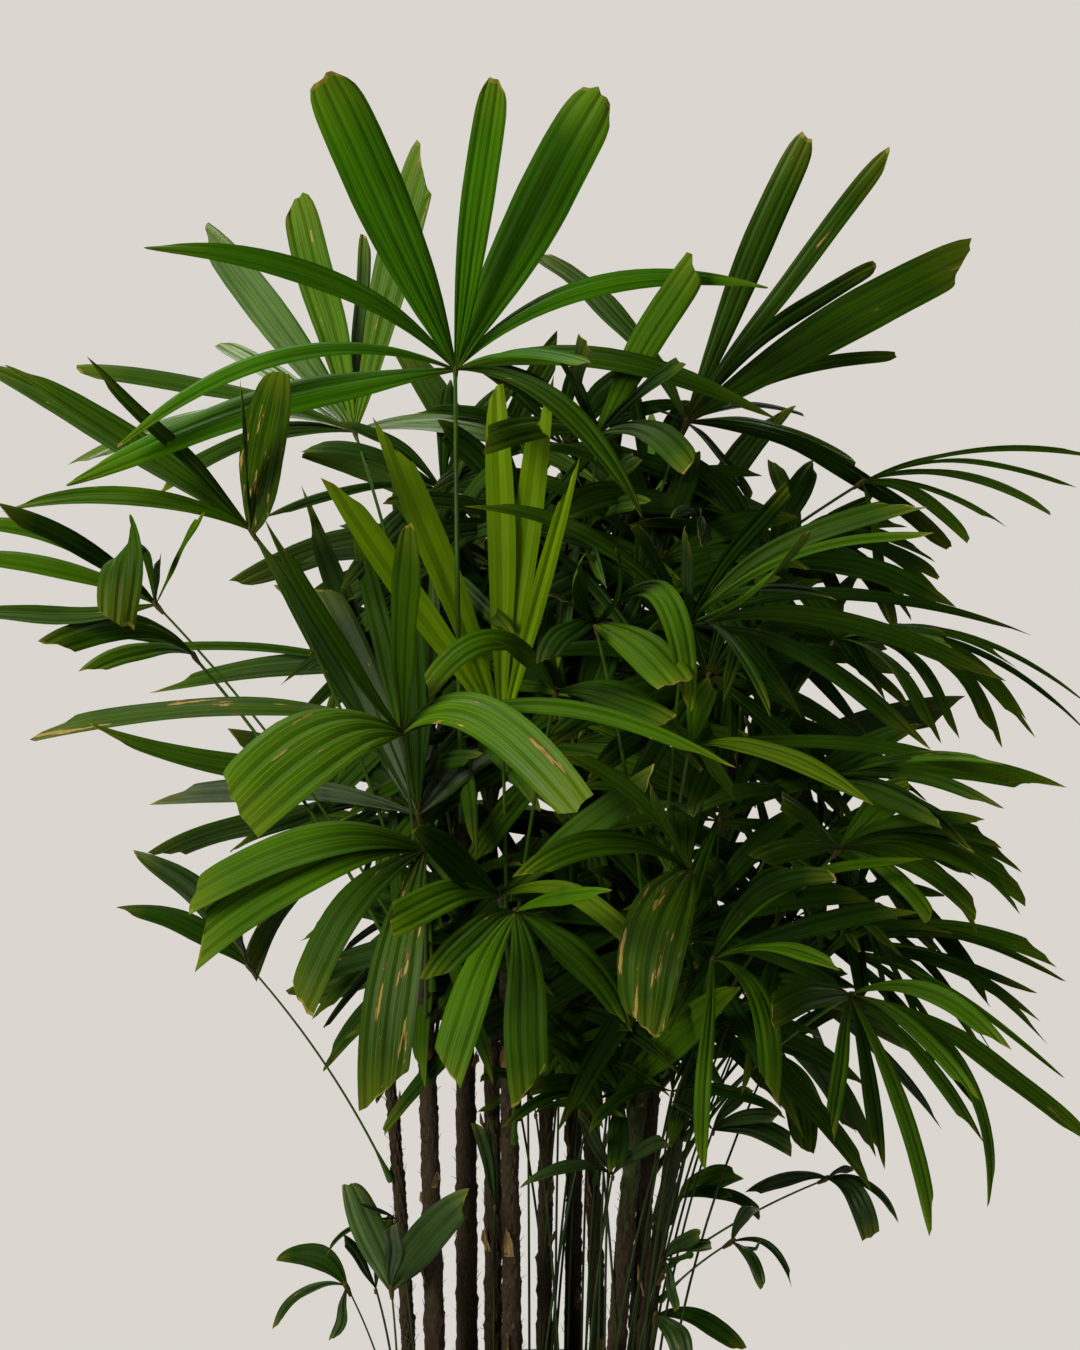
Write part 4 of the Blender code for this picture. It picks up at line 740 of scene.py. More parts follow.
def fanWays(turn):
    angle = radians(turn)
    right = Vector((cos(angle), sin(angle), 0))
    out = Vector((sin(angle), -cos(angle), 0))
    face = (out * cos(fan["faceUp"]) + Vector((0, 0, sin(fan["faceUp"])))).normalized()
    return right, out, face


def fingerCurve(hub, turn, long, finger, far, forward=0.0, share=1.0):
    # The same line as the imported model's finger
    right, out, face = fanWays(turn)
    bearing, reach, width, bow = finger[:4]
    angle = radians(bearing)
    across = right if far else Vector((1, 0, 0))
    slope = 0.0 if far else right.y / right.x
    level = across * sin(angle) + Vector((0, 0, cos(angle)))
    flat = hub + level * (reach * share / 100)
    if len(finger) > 4:
        depth = finger[4]
    else:
        short = sqrt(max(long ** 2 - reach ** 2, 0)) * 0.8
        depth = short * (1 if long > 0 else -1) - reach * sin(angle) * slope
    depth = (depth + forward) * share / 100
    eye = Vector(camera["eye"])
    sight = -out if far else (flat - eye) / (flat.y - eye.y)
    tip = flat - sight * depth
    line = tip - hub
    rise = Vector((0, 0, 1)) - line * (line.z / line.length_squared)
    lift = rise.normalized() if rise.length > 0.05 else face
    middle = (hub + tip) / 2 + lift * (2 * bow / 100) - sight * (depth * fan["droop"] * (1 - cos(angle)))
    first = 0.48 if width < 3.5 else 0.24
    early = hub * ((1 - first) ** 2 - 1) + middle * (2 * first * (1 - first)) + tip * first ** 2
    early = early - face * early.dot(face)
    way = early.normalized()
    if early.length < fan["rootReach"]:
        middle = middle + way * ((fan["rootReach"] - early.length) / (2 * first * (1 - first)))
    return Curve(hub, middle, tip, way, face)


def ringCorners(curve, share, width):
    place, side, out = curve.frameAt(share)
    half, deep = side * (width / 2), out * (fan["thick"] / 2)
    return [place - half + deep, place + half + deep, place + half - deep, place - half - deep]


def treeOf(name):
    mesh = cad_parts[name].data
    tree = KDTree(len(mesh.vertices))
    for order, vert in enumerate(mesh.vertices):
        tree.insert(vert.co, order)
    tree.balance()
    return tree, [vert.co.copy() for vert in mesh.vertices]


def nearestFit(tree, hub, turn, long, finger, far):
    # Of the ways a finger could have gone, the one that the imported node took
    best, bestGap = None, fan["close"]
    for share in shorterBy:
        for forward in forwardBy:
            curve = fingerCurve(hub, turn, long, finger, far, forward, share)
            gap = sum(tree.find(corner)[2] for corner in ringCorners(curve, 1.0, finger[2] / 100 * 0.45))
            if gap < bestGap:
                best, bestGap = curve, gap
    return best


def stalkLine(points, hub, curves):
    # The stalk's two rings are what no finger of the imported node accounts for
    distinct = []
    for point in points:
        if (point - hub).length < fan["hub"] * 1.6:
            continue
        known = False
        for curve, width in curves:
            stations = fan["narrowStations"] if width < 0.035 else fan["wideStations"]
            for share, part in stations:
                if min((corner - point).length for corner in ringCorners(curve, share, width * part)) < fan["same"]:
                    known = True
        if not known and all((point - other).length > fan["apart"] for other in distinct):
            distinct.append(point)
    distinct.sort(key=lambda point: (point - hub).length)
    if len(distinct) < 8:
        return None
    foot = sum(distinct[-4:], Vector()) / 4
    distinct.sort(key=lambda point: (point - (hub + foot) / 2).length)
    near = sum(distinct[:4], Vector()) / 4
    return near, foot


def addStalk(spray, hub, near, foot, finish, radius=None):
    radius = radius or stalk["radius"]
    middle = near * 2 - (hub + foot) / 2
    places, radii = [], []
    length = (foot - hub).length
    for step in range(stalk["rings"] + 1):
        share = step / stalk["rings"]
        places.append(bowed(hub, middle, foot, share))
        toFoot = max(0.0, 1 - (1 - share) * length / stalk["footLength"])
        radii.append(radius * (0.85 + 0.25 * share) + (stalk["foot"] - radius) * toFoot)
    places.append(foot + (foot - near).normalized() * stalk["sunk"])
    radii.append(stalk["foot"])
    spray.addTube(places, radii, stalk["sides"], finish)


def addHub(spray, hub, face, foot):
    # A small brown crest where the fingers meet, on top of the stalk
    along = (foot - hub).normalized()
    places = [hub - along * 0.004 + face * 0.0025, hub - along * 0.001 + face * 0.002]
    places += [hub + along * 0.004, hub + along * 0.012]
    spray.addTube(places, [0.0010, 0.0030, 0.0029, 0.0018], 10, finishes["hubBrown"])


# The tones that a frond of each tone deals out to its fingers
toneNeighbours = {
    "deep": ("deep", "deep", "dark", "mid"), "dark": ("dark", "dark", "mid", "deep"),
    "mid": ("mid", "mid", "mid", "dark"), "fresh": ("fresh", "fresh", "mid"), "crown": ("crown",), "lime": ("lime",),
    "sage": ("sage", "sage", "dark"), "slate": ("slate", "slate", "deep"),
}
missing = []


def readWords(words, tone, looks):
    # Words are a tone, an outline, or a setting such as roll=20
    for word in words.split():
        if word in leafTones:
            tone = word
        elif word in outlines:
            looks["outline"] = word
        else:
            key, value = word.split("=")
            looks[key] = int(value) if key == "folds" else float(value)
    return tone, looks


def bendCurve(curve, looks):
    # Fingers bend early and then run straight. Ahead brings the tip towards the viewer, in centimetres.
    ahead = (Vector(camera["eye"]) - curve.end).normalized() * (looks.get("ahead", 0) / 100)
    curve.end = curve.end + ahead
    earlier = 0.5 - looks.get("bend", fan["bend"])
    curve.middle = curve.middle + ahead * fan["nearEnd"] + (curve.start - curve.end) * earlier


def makeFrond(name, row, seed, far=False):
    hubPlace, turn, long, words, fingers, *extra = row
    spray = Spray(name.replace("frond_", "frond.") + ".leaf", seed)
    hub = Vector(hubPlace)
    face = fanWays(turn)[2]
    frondTone, frondLooks = readWords(words, None, {})
    tree, points = treeOf(name)
    curves, plans = [], []
    for finger in fingers:
        tone, looks = spray.chance.choice(toneNeighbours[frondTone]), dict(frondLooks)
        if isinstance(finger[-1], str):
            tone, looks = readWords(finger[-1], tone, looks)
        sizes = tuple(value for value in finger if not isinstance(value, str))
        curve = nearestFit(tree, hub, turn, long, sizes, far)
        if curve is None:
            missing.append((name, sizes[0]))
            continue
        curves.append((curve, sizes[2] / 100))
        if looks.keys() & {"at", "reach", "bow", "deep"}:
            shown = (looks.get("at", sizes[0]), looks.get("reach", sizes[1]), sizes[2], looks.get("bow", sizes[3]))
            shown += (looks["deep"],) if "deep" in looks else sizes[4:]
            curve = fingerCurve(hub, turn, long, shown, far)
        plans.append((curve, sizes[2] / 100, tone, looks))
    for finger in extra[0] if extra else ():
        tone, looks = readWords(finger[-1], frondTone, dict(frondLooks))
        plans.append((fingerCurve(hub, turn, long, finger[:-1], far), finger[2] / 100, tone, looks))
    line = stalkLine(points, hub, curves)
    for curve, width, tone, looks in plans:
        bendCurve(curve, looks)
        curve.twist = radians(looks.get("twist", spray.chance.uniform(-fan["twist"], fan["twist"])))
        curve.roll = radians(looks.get("roll", 0))
        spray.addBlade(curve, width * looks.get("wide", 1.0), tone, looks)
    if line:
        near, foot = line
        near = near - Vector((0, frondLooks.get("stalkAhead", 0), 0))
        addStalk(spray, hub - face * 0.001, near, foot, finishes["stalkGreen"], frondLooks.get("stalk"))
        addHub(spray, hub, face, near)
    else:
        missing.append((name, "stalk"))
    piece = spray.build()
    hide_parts(name)
    return spray.blades


def farFingers(reach):
    fingers = []
    for order, bearing in enumerate(farFan["bearings"]):
        long = reach * (1 - farFan["shorter"] * (order % 3))
        width, depth = farFan["widths"][order % 2], farFan["depths"][order % 2]
        fingers.append((bearing, long, width, farFan["bow"] * long, long * depth))
    return fingers


def makeFronds():
    total = 0
    for order, (name, row) in enumerate(fronds.items()):
        total += makeFrond(name, row, 100 + order)
    for order, (name, (hub, turn, reach, tone)) in enumerate(farFronds.items()):
        total += makeFrond(name, (hub, turn, reach, tone, farFingers(reach)), 200 + order, far=True)
    print("fronds laid,", total, "fingers, without a place:", missing)


makeFronds()


# Deep fronds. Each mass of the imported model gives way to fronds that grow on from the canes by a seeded
# rule. For each frond: its cane, its hub, the way it faces and how far its fingers reach, in centimetres.
deepFronds = {
    "mass_upper": {"seed": 5, "fronds": (
        (6, (0.06, 0.1, 1.22), 30, 20), (10, (-0.03, 0.14, 1.16), -150, 19), (6, (0.12, 0.02, 1.17), 10, 20),
        (3, (-0.06, 0.05, 1.12), -20, 20), (6, (0.0, 0.02, 1.05), 5, 22), (6, (0.1, 0.15, 1.05), 160, 20),
        (6, (0.03, -0.02, 0.98), 0, 22), (11, (0.2, 0.08, 1.12), 40, 22), (6, (0.17, -0.02, 1.05), 20, 24),
        (3, (-0.12, 0.0, 1.16), -35, 17), (3, (-0.02, 0.0, 1.2), 15, 20), (10, (-0.1, 0.14, 1.1), -110, 16),
        (6, (0.06, 0.06, 1.12), -5, 22), (10, (-0.15, 0.12, 1.17), -25, 14), (3, (-0.11, 0.07, 1.25), -5, 20),
        (6, (0.02, 0.09, 1.3), 10, 18), (3, (-0.15, 0.05, 1.1), -20, 14), (6, (0.11, 0.07, 1.24), 40, 20),
        (6, (0.17, 0.09, 1.21), 70, 20), (11, (0.24, 0.06, 1.17), 20, 20), (6, (0.04, 0.07, 1.2), -60, 20),
        (6, (0.02, 0.13, 1.11), 0, 19), (6, (0.09, 0.12, 1.14), 20, 19), (3, (-0.05, 0.11, 1.07), -10, 18))},
    "mass_right": {"seed": 6, "fronds": (
        (11, (0.2, 0.02, 1.02), 30, 24), (11, (0.21, 0.12, 0.97), 60, 18), (11, (0.22, 0.18, 0.95), 140, 22),
        (11, (0.3, 0.1, 0.88), 50, 24), (8, (0.18, -0.05, 0.9), 15, 24), (8, (0.25, 0.0, 0.8), 35, 26),
        (11, (0.33, 0.05, 0.8), 70, 24), (11, (0.2, 0.1, 0.72), 100, 20), (7, (0.14, -0.08, 0.78), -5, 22),
        (11, (0.28, 0.14, 0.7), 120, 22))},
    "mass_lower": {"seed": 7, "fronds": (
        (9, (0.05, 0.05, 0.86), -10, 20), (5, (-0.01, 0.0, 0.8), 0, 19), (9, (0.1, 0.03, 0.84), 20, 20),
        (9, (0.04, 0.14, 0.74), 170, 20), (8, (0.12, 0.06, 0.72), 40, 20), (10, (-0.03, 0.08, 0.7), -160, 16),
        (7, (0.07, -0.03, 0.74), 5, 18), (4, (-0.02, -0.06, 0.72), -15, 20), (8, (0.18, 0.0, 0.68), 30, 20),
        (2, (-0.1, -0.02, 0.76), -30, 18))},
    "mass_left": {"seed": 8, "fronds": (
        (10, (-0.12, 0.12, 0.98), -60, 16), (10, (-0.16, 0.08, 0.9), -70, 14), (10, (-0.1, 0.15, 0.8), -120, 18),
        (3, (-0.06, 0.05, 0.9), -10, 19), (3, (-0.1, 0.02, 1.02), -30, 20), (2, (-0.16, -0.02, 0.92), -45, 20),
        (3, (-0.12, 0.03, 0.8), -50, 20), (3, (-0.04, -0.02, 0.97), 0, 20))},
}
# Deep fronds take mostly the deep tone, which is partly painted shade inside the clump.
deepRule = {
    "below": (0.08, 0.20), "fingers": (8, 9, 10), "widths": (0.012, 0.030), "tones": ("deep", "deep", "deep", "dark"),
    "outlines": ("slim", "taper", "strap"), "dry": 0.05, "spread": 140, "uneven": 0.25, "long": (0.75, 1.0),
    "forward": 0.25, "droop": 0.12, "droopBy": (1, 3), "bow": 0.16, "bowForward": 0.3, "twist": 14, "stalkRise": 0.03,
}
soilTop = 0.275
caneLow = soilTop + 0.0003
# Where each cane stands on the soil, its top and its radius
canes = {
    "cane_1": ((-0.14, -0.01), (-0.164, -0.01, 0.65), 0.008),
    "cane_2": ((-0.112, -0.06), (-0.128, -0.07, 0.85), 0.011),
    "cane_3": ((-0.081, -0.01), (-0.086, 0.0, 0.93), 0.012),
    "cane_4": ((-0.033, -0.065), (-0.04, -0.075, 0.79), 0.0107),
    "cane_5": ((-0.001, 0.02), (0.004, 0.03, 0.78), 0.0088),
    "cane_6": ((0.03, 0.06), (0.036, 0.055, 0.93), 0.0095),
    "cane_7": ((0.069, -0.06), (0.122, -0.07, 0.81), 0.0105),
    "cane_8": ((0.097, -0.015), (0.176, -0.025, 0.74), 0.01),
    "cane_9": ((0.058, 0.015), (0.04, 0.0, 0.72), 0.009),
    "cane_10": ((-0.055, 0.085), (-0.06, 0.11, 0.95), 0.01),
    "cane_11": ((0.098, 0.075), (0.14, 0.1, 0.88), 0.01),
}


def caneAt(name, height):
    # A cane stands upright at its foot and then leans out
    foot, top, radius = canes[name]
    share = min(max((height - caneLow) / (top[2] - caneLow), 0.0), 1.0)
    lean = share * (0.5 + 0.5 * share)
    place = Vector((*foot, caneLow)).lerp(Vector(top), lean)
    place.z = caneLow + (Vector(top).z - caneLow) * share
    return place, radius * (1 - 0.28 * share)


def growFrond(spray, caneName, height, hub, turn, reach, tone, count):
    # A frond by rule: a stalk from its cane, and fingers round the hub that sink towards their tips
    chance, rule = spray.chance, deepRule
    right, out, face = fanWays(turn)
    up = face.cross(right)
    axis, radius = caneAt(caneName, height)
    away = Vector((hub.x - axis.x, hub.y - axis.y, 0)).normalized()
    foot = axis + away * (radius + 0.001)
    near = (foot + hub) / 2 + Vector((0, 0, rule["stalkRise"] * (hub - foot).length))
    for order in range(count):
        step = order + chance.uniform(-rule["uneven"], rule["uneven"])
        bearing = radians(-rule["spread"] + 2 * rule["spread"] * step / (count - 1))
        way = (right * sin(bearing) + up * cos(bearing)).normalized()
        long = reach * chance.uniform(*rule["long"])
        sunk = Vector((0, 0, long * rule["droop"] * chance.uniform(*rule["droopBy"])))
        tip = hub + way * long + face * (long * rule["forward"]) - sunk
        middle = (hub + tip) / 2 + (face * rule["bowForward"] + Vector((0, 0, 1))) * (long * rule["bow"])
        lead = middle - hub
        lead = (lead - face * lead.dot(face)).normalized()
        curve = Curve(hub, middle, tip, lead, face, radians(chance.uniform(-rule["twist"], rule["twist"])))
        width, outline = chance.uniform(*rule["widths"]), chance.choice(rule["outlines"])
        spray.addBlade(curve, width, tone, {"dry": rule["dry"], "outline": outline})
    addStalk(spray, hub, near, foot, finishes["stalkDark"])
    addHub(spray, hub, face, near)


def makeDeepFronds():
    for name, rule in deepFronds.items():
        spray = Spray(name.replace("mass_", "mass.") + ".leaves", rule["seed"])
        chance = spray.chance
        for number, place, turn, reach in rule["fronds"]:
            cane, hub = f"cane_{number}", Vector(place)
            height = min(hub.z - chance.uniform(*deepRule["below"]), canes[cane][1][2] - 0.02)
            tone, count = chance.choice(deepRule["tones"]), chance.choice(deepRule["fingers"])
            growFrond(spray, cane, height, hub, turn, reach / 100, tone, count)
        piece = spray.build()
        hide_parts(name)
    print("deep fronds grown")


makeDeepFronds()

# Low growth: small fronds on thin stalks from the soil, as the picture shows them, and then thin stems by rule
lowGrowth = (
    {"foot": (-0.053, -0.050), "hub": (-0.0515, -0.050, 0.504), "fingers": ((-13, 9.0, 1.1, 0.3), (-4, 9.3, 0.9, 0.3))},
    {"foot": (-0.150, -0.060), "hub": (-0.174, -0.060, 0.420), "fingers": ((-34, 6.5, 1.2, 0.4), (12, 8.0, 1.2, 0.4))},
    {"foot": (0.085, -0.090), "hub": (0.121, -0.070, 0.452), "fingers": (
        (57, 4.7, 1.6, 0.4), (73, 5.4, 1.2, 0.5), (84, 3.1, 0.8, 0.2), (165, 5.6, 1.0, 0.4))},
    {"foot": (0.110, -0.060), "hub": (0.173, -0.060, 0.583), "fingers": (
        (104, 9.1, 2.2, 1.2), (43, 6.0, 1.4, 0.6), (80, 7.0, 1.6, 0.8), (-60, 5.0, 1.4, 0.4))},
    {"foot": (0.040, -0.100), "hub": (0.069, -0.090, 0.542), "fingers": (
        (-100, 9.7, 1.4, 1.8), (60, 7.0, 1.4, 0.8), (-30, 7.5, 1.6, 0.4))},
    {"foot": (-0.128, -0.085), "hub": (-0.152, -0.085, 0.496), "fingers": (
        (-119, 8.5, 0.5, 1.4), (-70, 4.0, 0.6, 0.3))},
)
lowStems = {
    "count": 34, "seed": 31, "footX": (-0.03, 0.12), "footY": (-0.11, 0.05), "radius": 0.0013, "high": (0.60, 0.82),
    "outwards": 1.5, "leanX": (-0.16, 0.20), "leanFrom": 0.2, "leanY": (-0.03, 0.06), "fingers": (3, 4, 5),
    "bearing": (-120, 130), "reach": (7, 13), "width": (0.8, 1.7), "bow": (0.5, 2.5), "turn": (-40, 40), "twist": 20,
    # The deep and dark tones of these low stems are partly painted shade under the clump.
    "tones": ("deep", "deep", "dark"), "firstTurn": 5, "firstTone": "slate",
}


def addLowFrond(spray, footPlace, hub, turn, fingers, tone):
    face = fanWays(turn)[2]
    foot = Vector((*footPlace, soilTop - 0.004))
    near = (foot + hub) / 2 + Vector(((hub.x - foot.x) * -0.16, 0, 0.004))
    long = 1.1 * max(finger[1] for finger in fingers)
    for finger in fingers:
        curve = fingerCurve(hub, turn, long, finger, False)
        curve.twist = radians(spray.chance.uniform(-lowStems["twist"], lowStems["twist"]))
        spray.addBlade(curve, finger[2] / 100, tone)
    addStalk(spray, hub, near, foot, finishes["stalkDark"], lowStems["radius"])
    crest = [hub + face * 0.001, hub - Vector((0, 0, 0.002)), hub - Vector((0, 0, 0.006))]
    spray.addTube(crest, [0.0010, 0.0022, 0.0013], 8, finishes["hubBrown"])


def makeLowGrowth():
    rule = lowStems
    spray = Spray("lowGrowth.leaves", rule["seed"])
    chance = spray.chance
    for growth in lowGrowth:
        hub = Vector(growth["hub"])
        addLowFrond(spray, growth["foot"], hub, rule["firstTurn"], growth["fingers"], rule["firstTone"])
    for _ in range(rule["count"]):
        x, y, high = [chance.uniform(*rule[key]) for key in ("footX", "footY", "high")]
        hubX = x * rule["outwards"] + chance.uniform(*rule["leanX"]) * (high - rule["leanFrom"])
        hub = Vector((hubX, y + chance.uniform(*rule["leanY"]), high))
        fingers = []
        for _ in range(chance.choice(rule["fingers"])):
            fingers.append([chance.uniform(*rule[key]) for key in ("bearing", "reach", "width", "bow")])
        addLowFrond(spray, (x, y), hub, chance.uniform(*rule["turn"]), fingers, chance.choice(rule["tones"]))
    piece = spray.build()
    print("low growth ready")


makeLowGrowth()

# Canes: wrapped in coarse brown fibre, with the cut ends of old sheaths and loose hairs
caneLook = {
    "sides": 28, "step": 0.0035, "fibre": 0.0013, "wrap": 0.0017, "wrapLong": (0.035, 0.075),
    "wrapSlant": 0.006, "fibres": 7, "fibreRise": 1.8, "greenEdge": 0.02, "hairs": 190, "hairLong": (0.008, 0.024),
    "hairThick": 0.00034, "hairLean": (0.1, 0.45), "hairRise": (0.1, 0.7), "hairAside": (0.4, 0.5), "stubs": 5,
    "trimBelow": 0.80,
}


def caneFinish(name, low, high, olive):
    finish, tree, shader = newFinish(name)
    metres = addNode(tree, "ShaderNodeUVMap", uv_map="wrapMetres").outputs[0]
    one = addNoise(tree, metres, (1, 0.16, 1), 900, 4, 0.65)
    lattice = addNoise(tree, metres, (0.9, 0.06, 1), 1500, 3, 0.6)
    patch = addNoise(tree, metres, (1, 0.5, 1), 40, 3, 0.6)
    both = mathNode(tree, "MULTIPLY", mathNode(tree, "ADD", one, lattice), 0.5)
    colour = blendColours(tree, mapValue(tree, both, 0.40, 0.62), linear(low), linear(high))
    colour = blendColours(tree, mapValue(tree, patch, 0.50, 0.70, 0, 0.5), colour, linear(olive))
    tree.links.new(colour, shader.inputs["Base Color"])
    shader.inputs["Specular IOR Level"].default_value = 0.3
    tree.links.new(mapValue(tree, both, 0.4, 0.6, 0.95, 0.78), shader.inputs["Roughness"])
    addBump(tree, shader, both, 0.9, 0.0012)
    return finish


finishes["caneFibre"] = caneFinish("caneFibre", (22, 17, 9), (72, 57, 38), (46, 46, 22))
finishes["caneGreen"] = caneFinish("caneGreen", (36, 44, 20), (72, 82, 40), (66, 78, 30))
finishes["sheathTan"] = speckledFinish("sheathTan", (96, 74, 44), (150, 124, 82), 0.85, 500, 0.5, 0.0006, (1, 1, 0.15))
finishes["caneHair"] = speckledFinish("caneHair", (34, 26, 16), (70, 54, 36), 0.85)
greenAbove = {"cane_7": 0.50, "cane_8": 0.47}


def makeCane(name, seed):
    chance = Random(seed)
    thick, low, high = canes[name][2], caneLow, canes[name][1][2]
    sides, rings = caneLook["sides"], int((high - low) / caneLook["step"])
    deselectAll()
    bpy.ops.mesh.primitive_cylinder_add(vertices=sides, radius=1, depth=1, location=(0, 0, 0.5))
    piece = bpy.context.active_object
    piece.name = name.replace("_", ".") + ".fibre"
    bpy.ops.object.transform_apply(location=True)
    bpy.ops.object.mode_set(mode="EDIT")
    bpy.ops.mesh.select_mode(type="EDGE")
    mesh = bmesh.from_edit_mesh(piece.data)
    for edge in mesh.edges:
        edge.select_set(abs(edge.verts[0].co.z - edge.verts[1].co.z) > 0.5)
    bpy.ops.mesh.subdivide(number_cuts=rings - 1)
    bpy.ops.object.mode_set(mode="OBJECT")
    # Sheaths overlap upwards: each ring of wrap swells a little to its slanted upper edge
    wraps, height = [low], low
    while height < high:
        height += chance.uniform(*caneLook["wrapLong"])
        wraps.append(height)
    slants = [(chance.uniform(-1, 1), chance.uniform(0, 2 * pi)) for _ in wraps]
    fibres = []
    for _ in range(caneLook["fibres"]):
        fibres.append((chance.randint(5, 13) * chance.choice((-1, 1)), chance.uniform(140, 420), chance.uniform(0, 6)))
    for vert in piece.data.vertices:
        share = vert.co.z
        z = low + (high - low) * share
        angle = np.arctan2(vert.co.y, vert.co.x)
        place, radius = caneAt(name, z)
        swell = 0.0
        edges = [wrap + caneLook["wrapSlant"] * slant * cos(angle - turn) for wrap, (slant, turn) in zip(wraps, slants)]
        for bottom, top in zip(edges, edges[1:]):
            if bottom <= z < top:
                part = (z - bottom) / max(top - bottom, 1e-4)
                swell = caneLook["wrap"] * (part ** 3 - 0.25)
        fine = sum(sin(turns * angle + pitch * z + phase) for turns, pitch, phase in fibres) / len(fibres)
        reach = radius + (swell + caneLook["fibre"] * fine * caneLook["fibreRise"] - 0.0003)
        vert.co = place + Vector((cos(angle), sin(angle), 0)) * reach
    piece.data.materials.append(finishes["caneFibre"])
    piece.data.materials.append(finishes["caneGreen"])
    layer = piece.data.uv_layers.new(name="wrapMetres")
    green = greenAbove.get(name, 9)
    for face in piece.data.polygons:
        angles = []
        for corner in face.loop_indices:
            vert = piece.data.vertices[piece.data.loops[corner].vertex_index].co
            place, radius = caneAt(name, vert.z)
            angles.append((corner, float(np.arctan2(vert.y - place.y, vert.x - place.x)), vert.z))
        wrapped = max(a for _, a, _ in angles) - min(a for _, a, _ in angles) > pi
        for corner, angle, z in angles:
            turn = angle + 2 * pi if wrapped and angle < 0 else angle
            layer.data[corner].uv = (turn * thick, z + seed * 0.37)
        edge = green + caneLook["greenEdge"] * sin(face.center.x * 900)
        face.material_index = 1 if face.center.z > edge else 0
    smooth(piece, 40)
    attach(piece, "root")
    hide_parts(name)


def makeCaneTrim():
    # Loose hairs stand off the wrap, and split sheath ends lean away from it
    spray = Spray("cane.hairs", 40)
    stubs = Spray("cane.sheaths", 41)
    chance = spray.chance
    thick = caneLook["hairThick"]
    for name, (_, top, _) in canes.items():
        top = min(top[2], caneLook["trimBelow"])
        for _ in range(caneLook["hairs"]):
            z = chance.uniform(soilTop + 0.01, top - 0.03)
            place, radius = caneAt(name, z)
            angle = chance.uniform(0, 2 * pi)
            away = Vector((cos(angle), sin(angle), 0))
            side = Vector((-sin(angle), cos(angle), 0))
            long = chance.uniform(*caneLook["hairLong"])
            start = place + away * (radius - 0.0012)
            lean = chance.uniform(*caneLook["hairLean"])
            first, last = caneLook["hairAside"]
            lower = away * lean * 0.4 + side * chance.uniform(-first, first) + Vector((0, 0, 0.6))
            middle = start + lower * long * 0.55
            rise = Vector((0, 0, 1))
            upper = away * lean + side * chance.uniform(-last, last) + rise * chance.uniform(*caneLook["hairRise"])
            end = middle + upper * long * 0.5
            spray.addTube([start, middle, end], [thick, thick, thick * 0.4], 3, finishes["caneHair"])
        for _ in range(caneLook["stubs"]):
            place, radius = caneAt(name, chance.uniform(soilTop + 0.05, top - 0.04))
            addSheath(stubs, place, radius, chance.uniform(0, 2 * pi), chance)
    for piece in (spray.build(), stubs.build()):
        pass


sheath = {
    "wide": (0.5, 1.1), "tall": (0.018, 0.042), "across": 6, "upward": 5, "torn": (0.6, 1.0), "thick": 0.0007,
    "narrower": 0.35, "sunk": 0.0006, "flare": 0.005,
}


def addSheath(spray, place, radius, angle, chance):
    # A thin curved flap with a torn upper edge, one wall thick
    wide, tall = chance.uniform(*sheath["wide"]), chance.uniform(*sheath["tall"])
    across, upward = sheath["across"], sheath["upward"]
    points, faces = [], []
    torn = []
    for step in range(across + 1):
        torn.append(chance.uniform(*sheath["torn"]) * (1 - abs(2 * step / across - 1) ** 2 * 0.5))
    for wall in (0.0, sheath["thick"]):
        for row in range(upward + 1):
            for step in range(across + 1):
                turn = angle + wide * (step / across - 0.5) * (1 - sheath["narrower"] * row / upward)
                rise = tall * row / upward * torn[step]
                out = radius - sheath["sunk"] + wall + sheath["flare"] * (row / upward) ** 2
                points.append(place + Vector((cos(turn) * out, sin(turn) * out, rise)))
    size = (across + 1) * (upward + 1)
    for row in range(upward):
        for step in range(across):
            corner = row * (across + 1) + step
            above = corner + across + 1
            faces.append((corner, above, above + 1, corner + 1))
            faces.append((size + corner, size + corner + 1, size + above + 1, size + above))
    edge = [*range(across + 1)] + [row * (across + 1) + across for row in range(1, upward + 1)]
    edge += [upward * (across + 1) + step for step in range(across - 1, -1, -1)]
    edge += [row * (across + 1) for row in range(upward - 1, 0, -1)]
    for order, corner in enumerate(edge):
        after = edge[(order + 1) % len(edge)]
        faces.append((corner, after, after + size, corner + size))
    spray.addPlain(points, faces, finishes["sheathTan"])


for order, name in enumerate(canes):
    makeCane(name, 300 + order)
makeCaneTrim()
print("canes wrapped,", len(canes))

# Pot: a tapered tub, drawn up from a disc by extrusion and scaling, with a rolled lip. Each ring has its radius
# and its height, from the foot's middle up the outside, over the lip and down inside.
pot = {"sides": 96, "rings": (
    (0.118, 0.004), (0.122, 0.0), (0.133, 0.0), (0.135, 0.002), (0.1392, 0.030), (0.1608, 0.160), (0.1782, 0.262),
    (0.1795, 0.2705), (0.1825, 0.272), (0.1885, 0.2725), (0.190, 0.2745), (0.1898, 0.2965), (0.1880, 0.2995),
    (0.1840, 0.300), (0.1775, 0.2995), (0.1745, 0.2965), (0.1730, 0.285), (0.1552, 0.160), (0.1300, 0.012),
    (0.1270, 0.0065),
)}


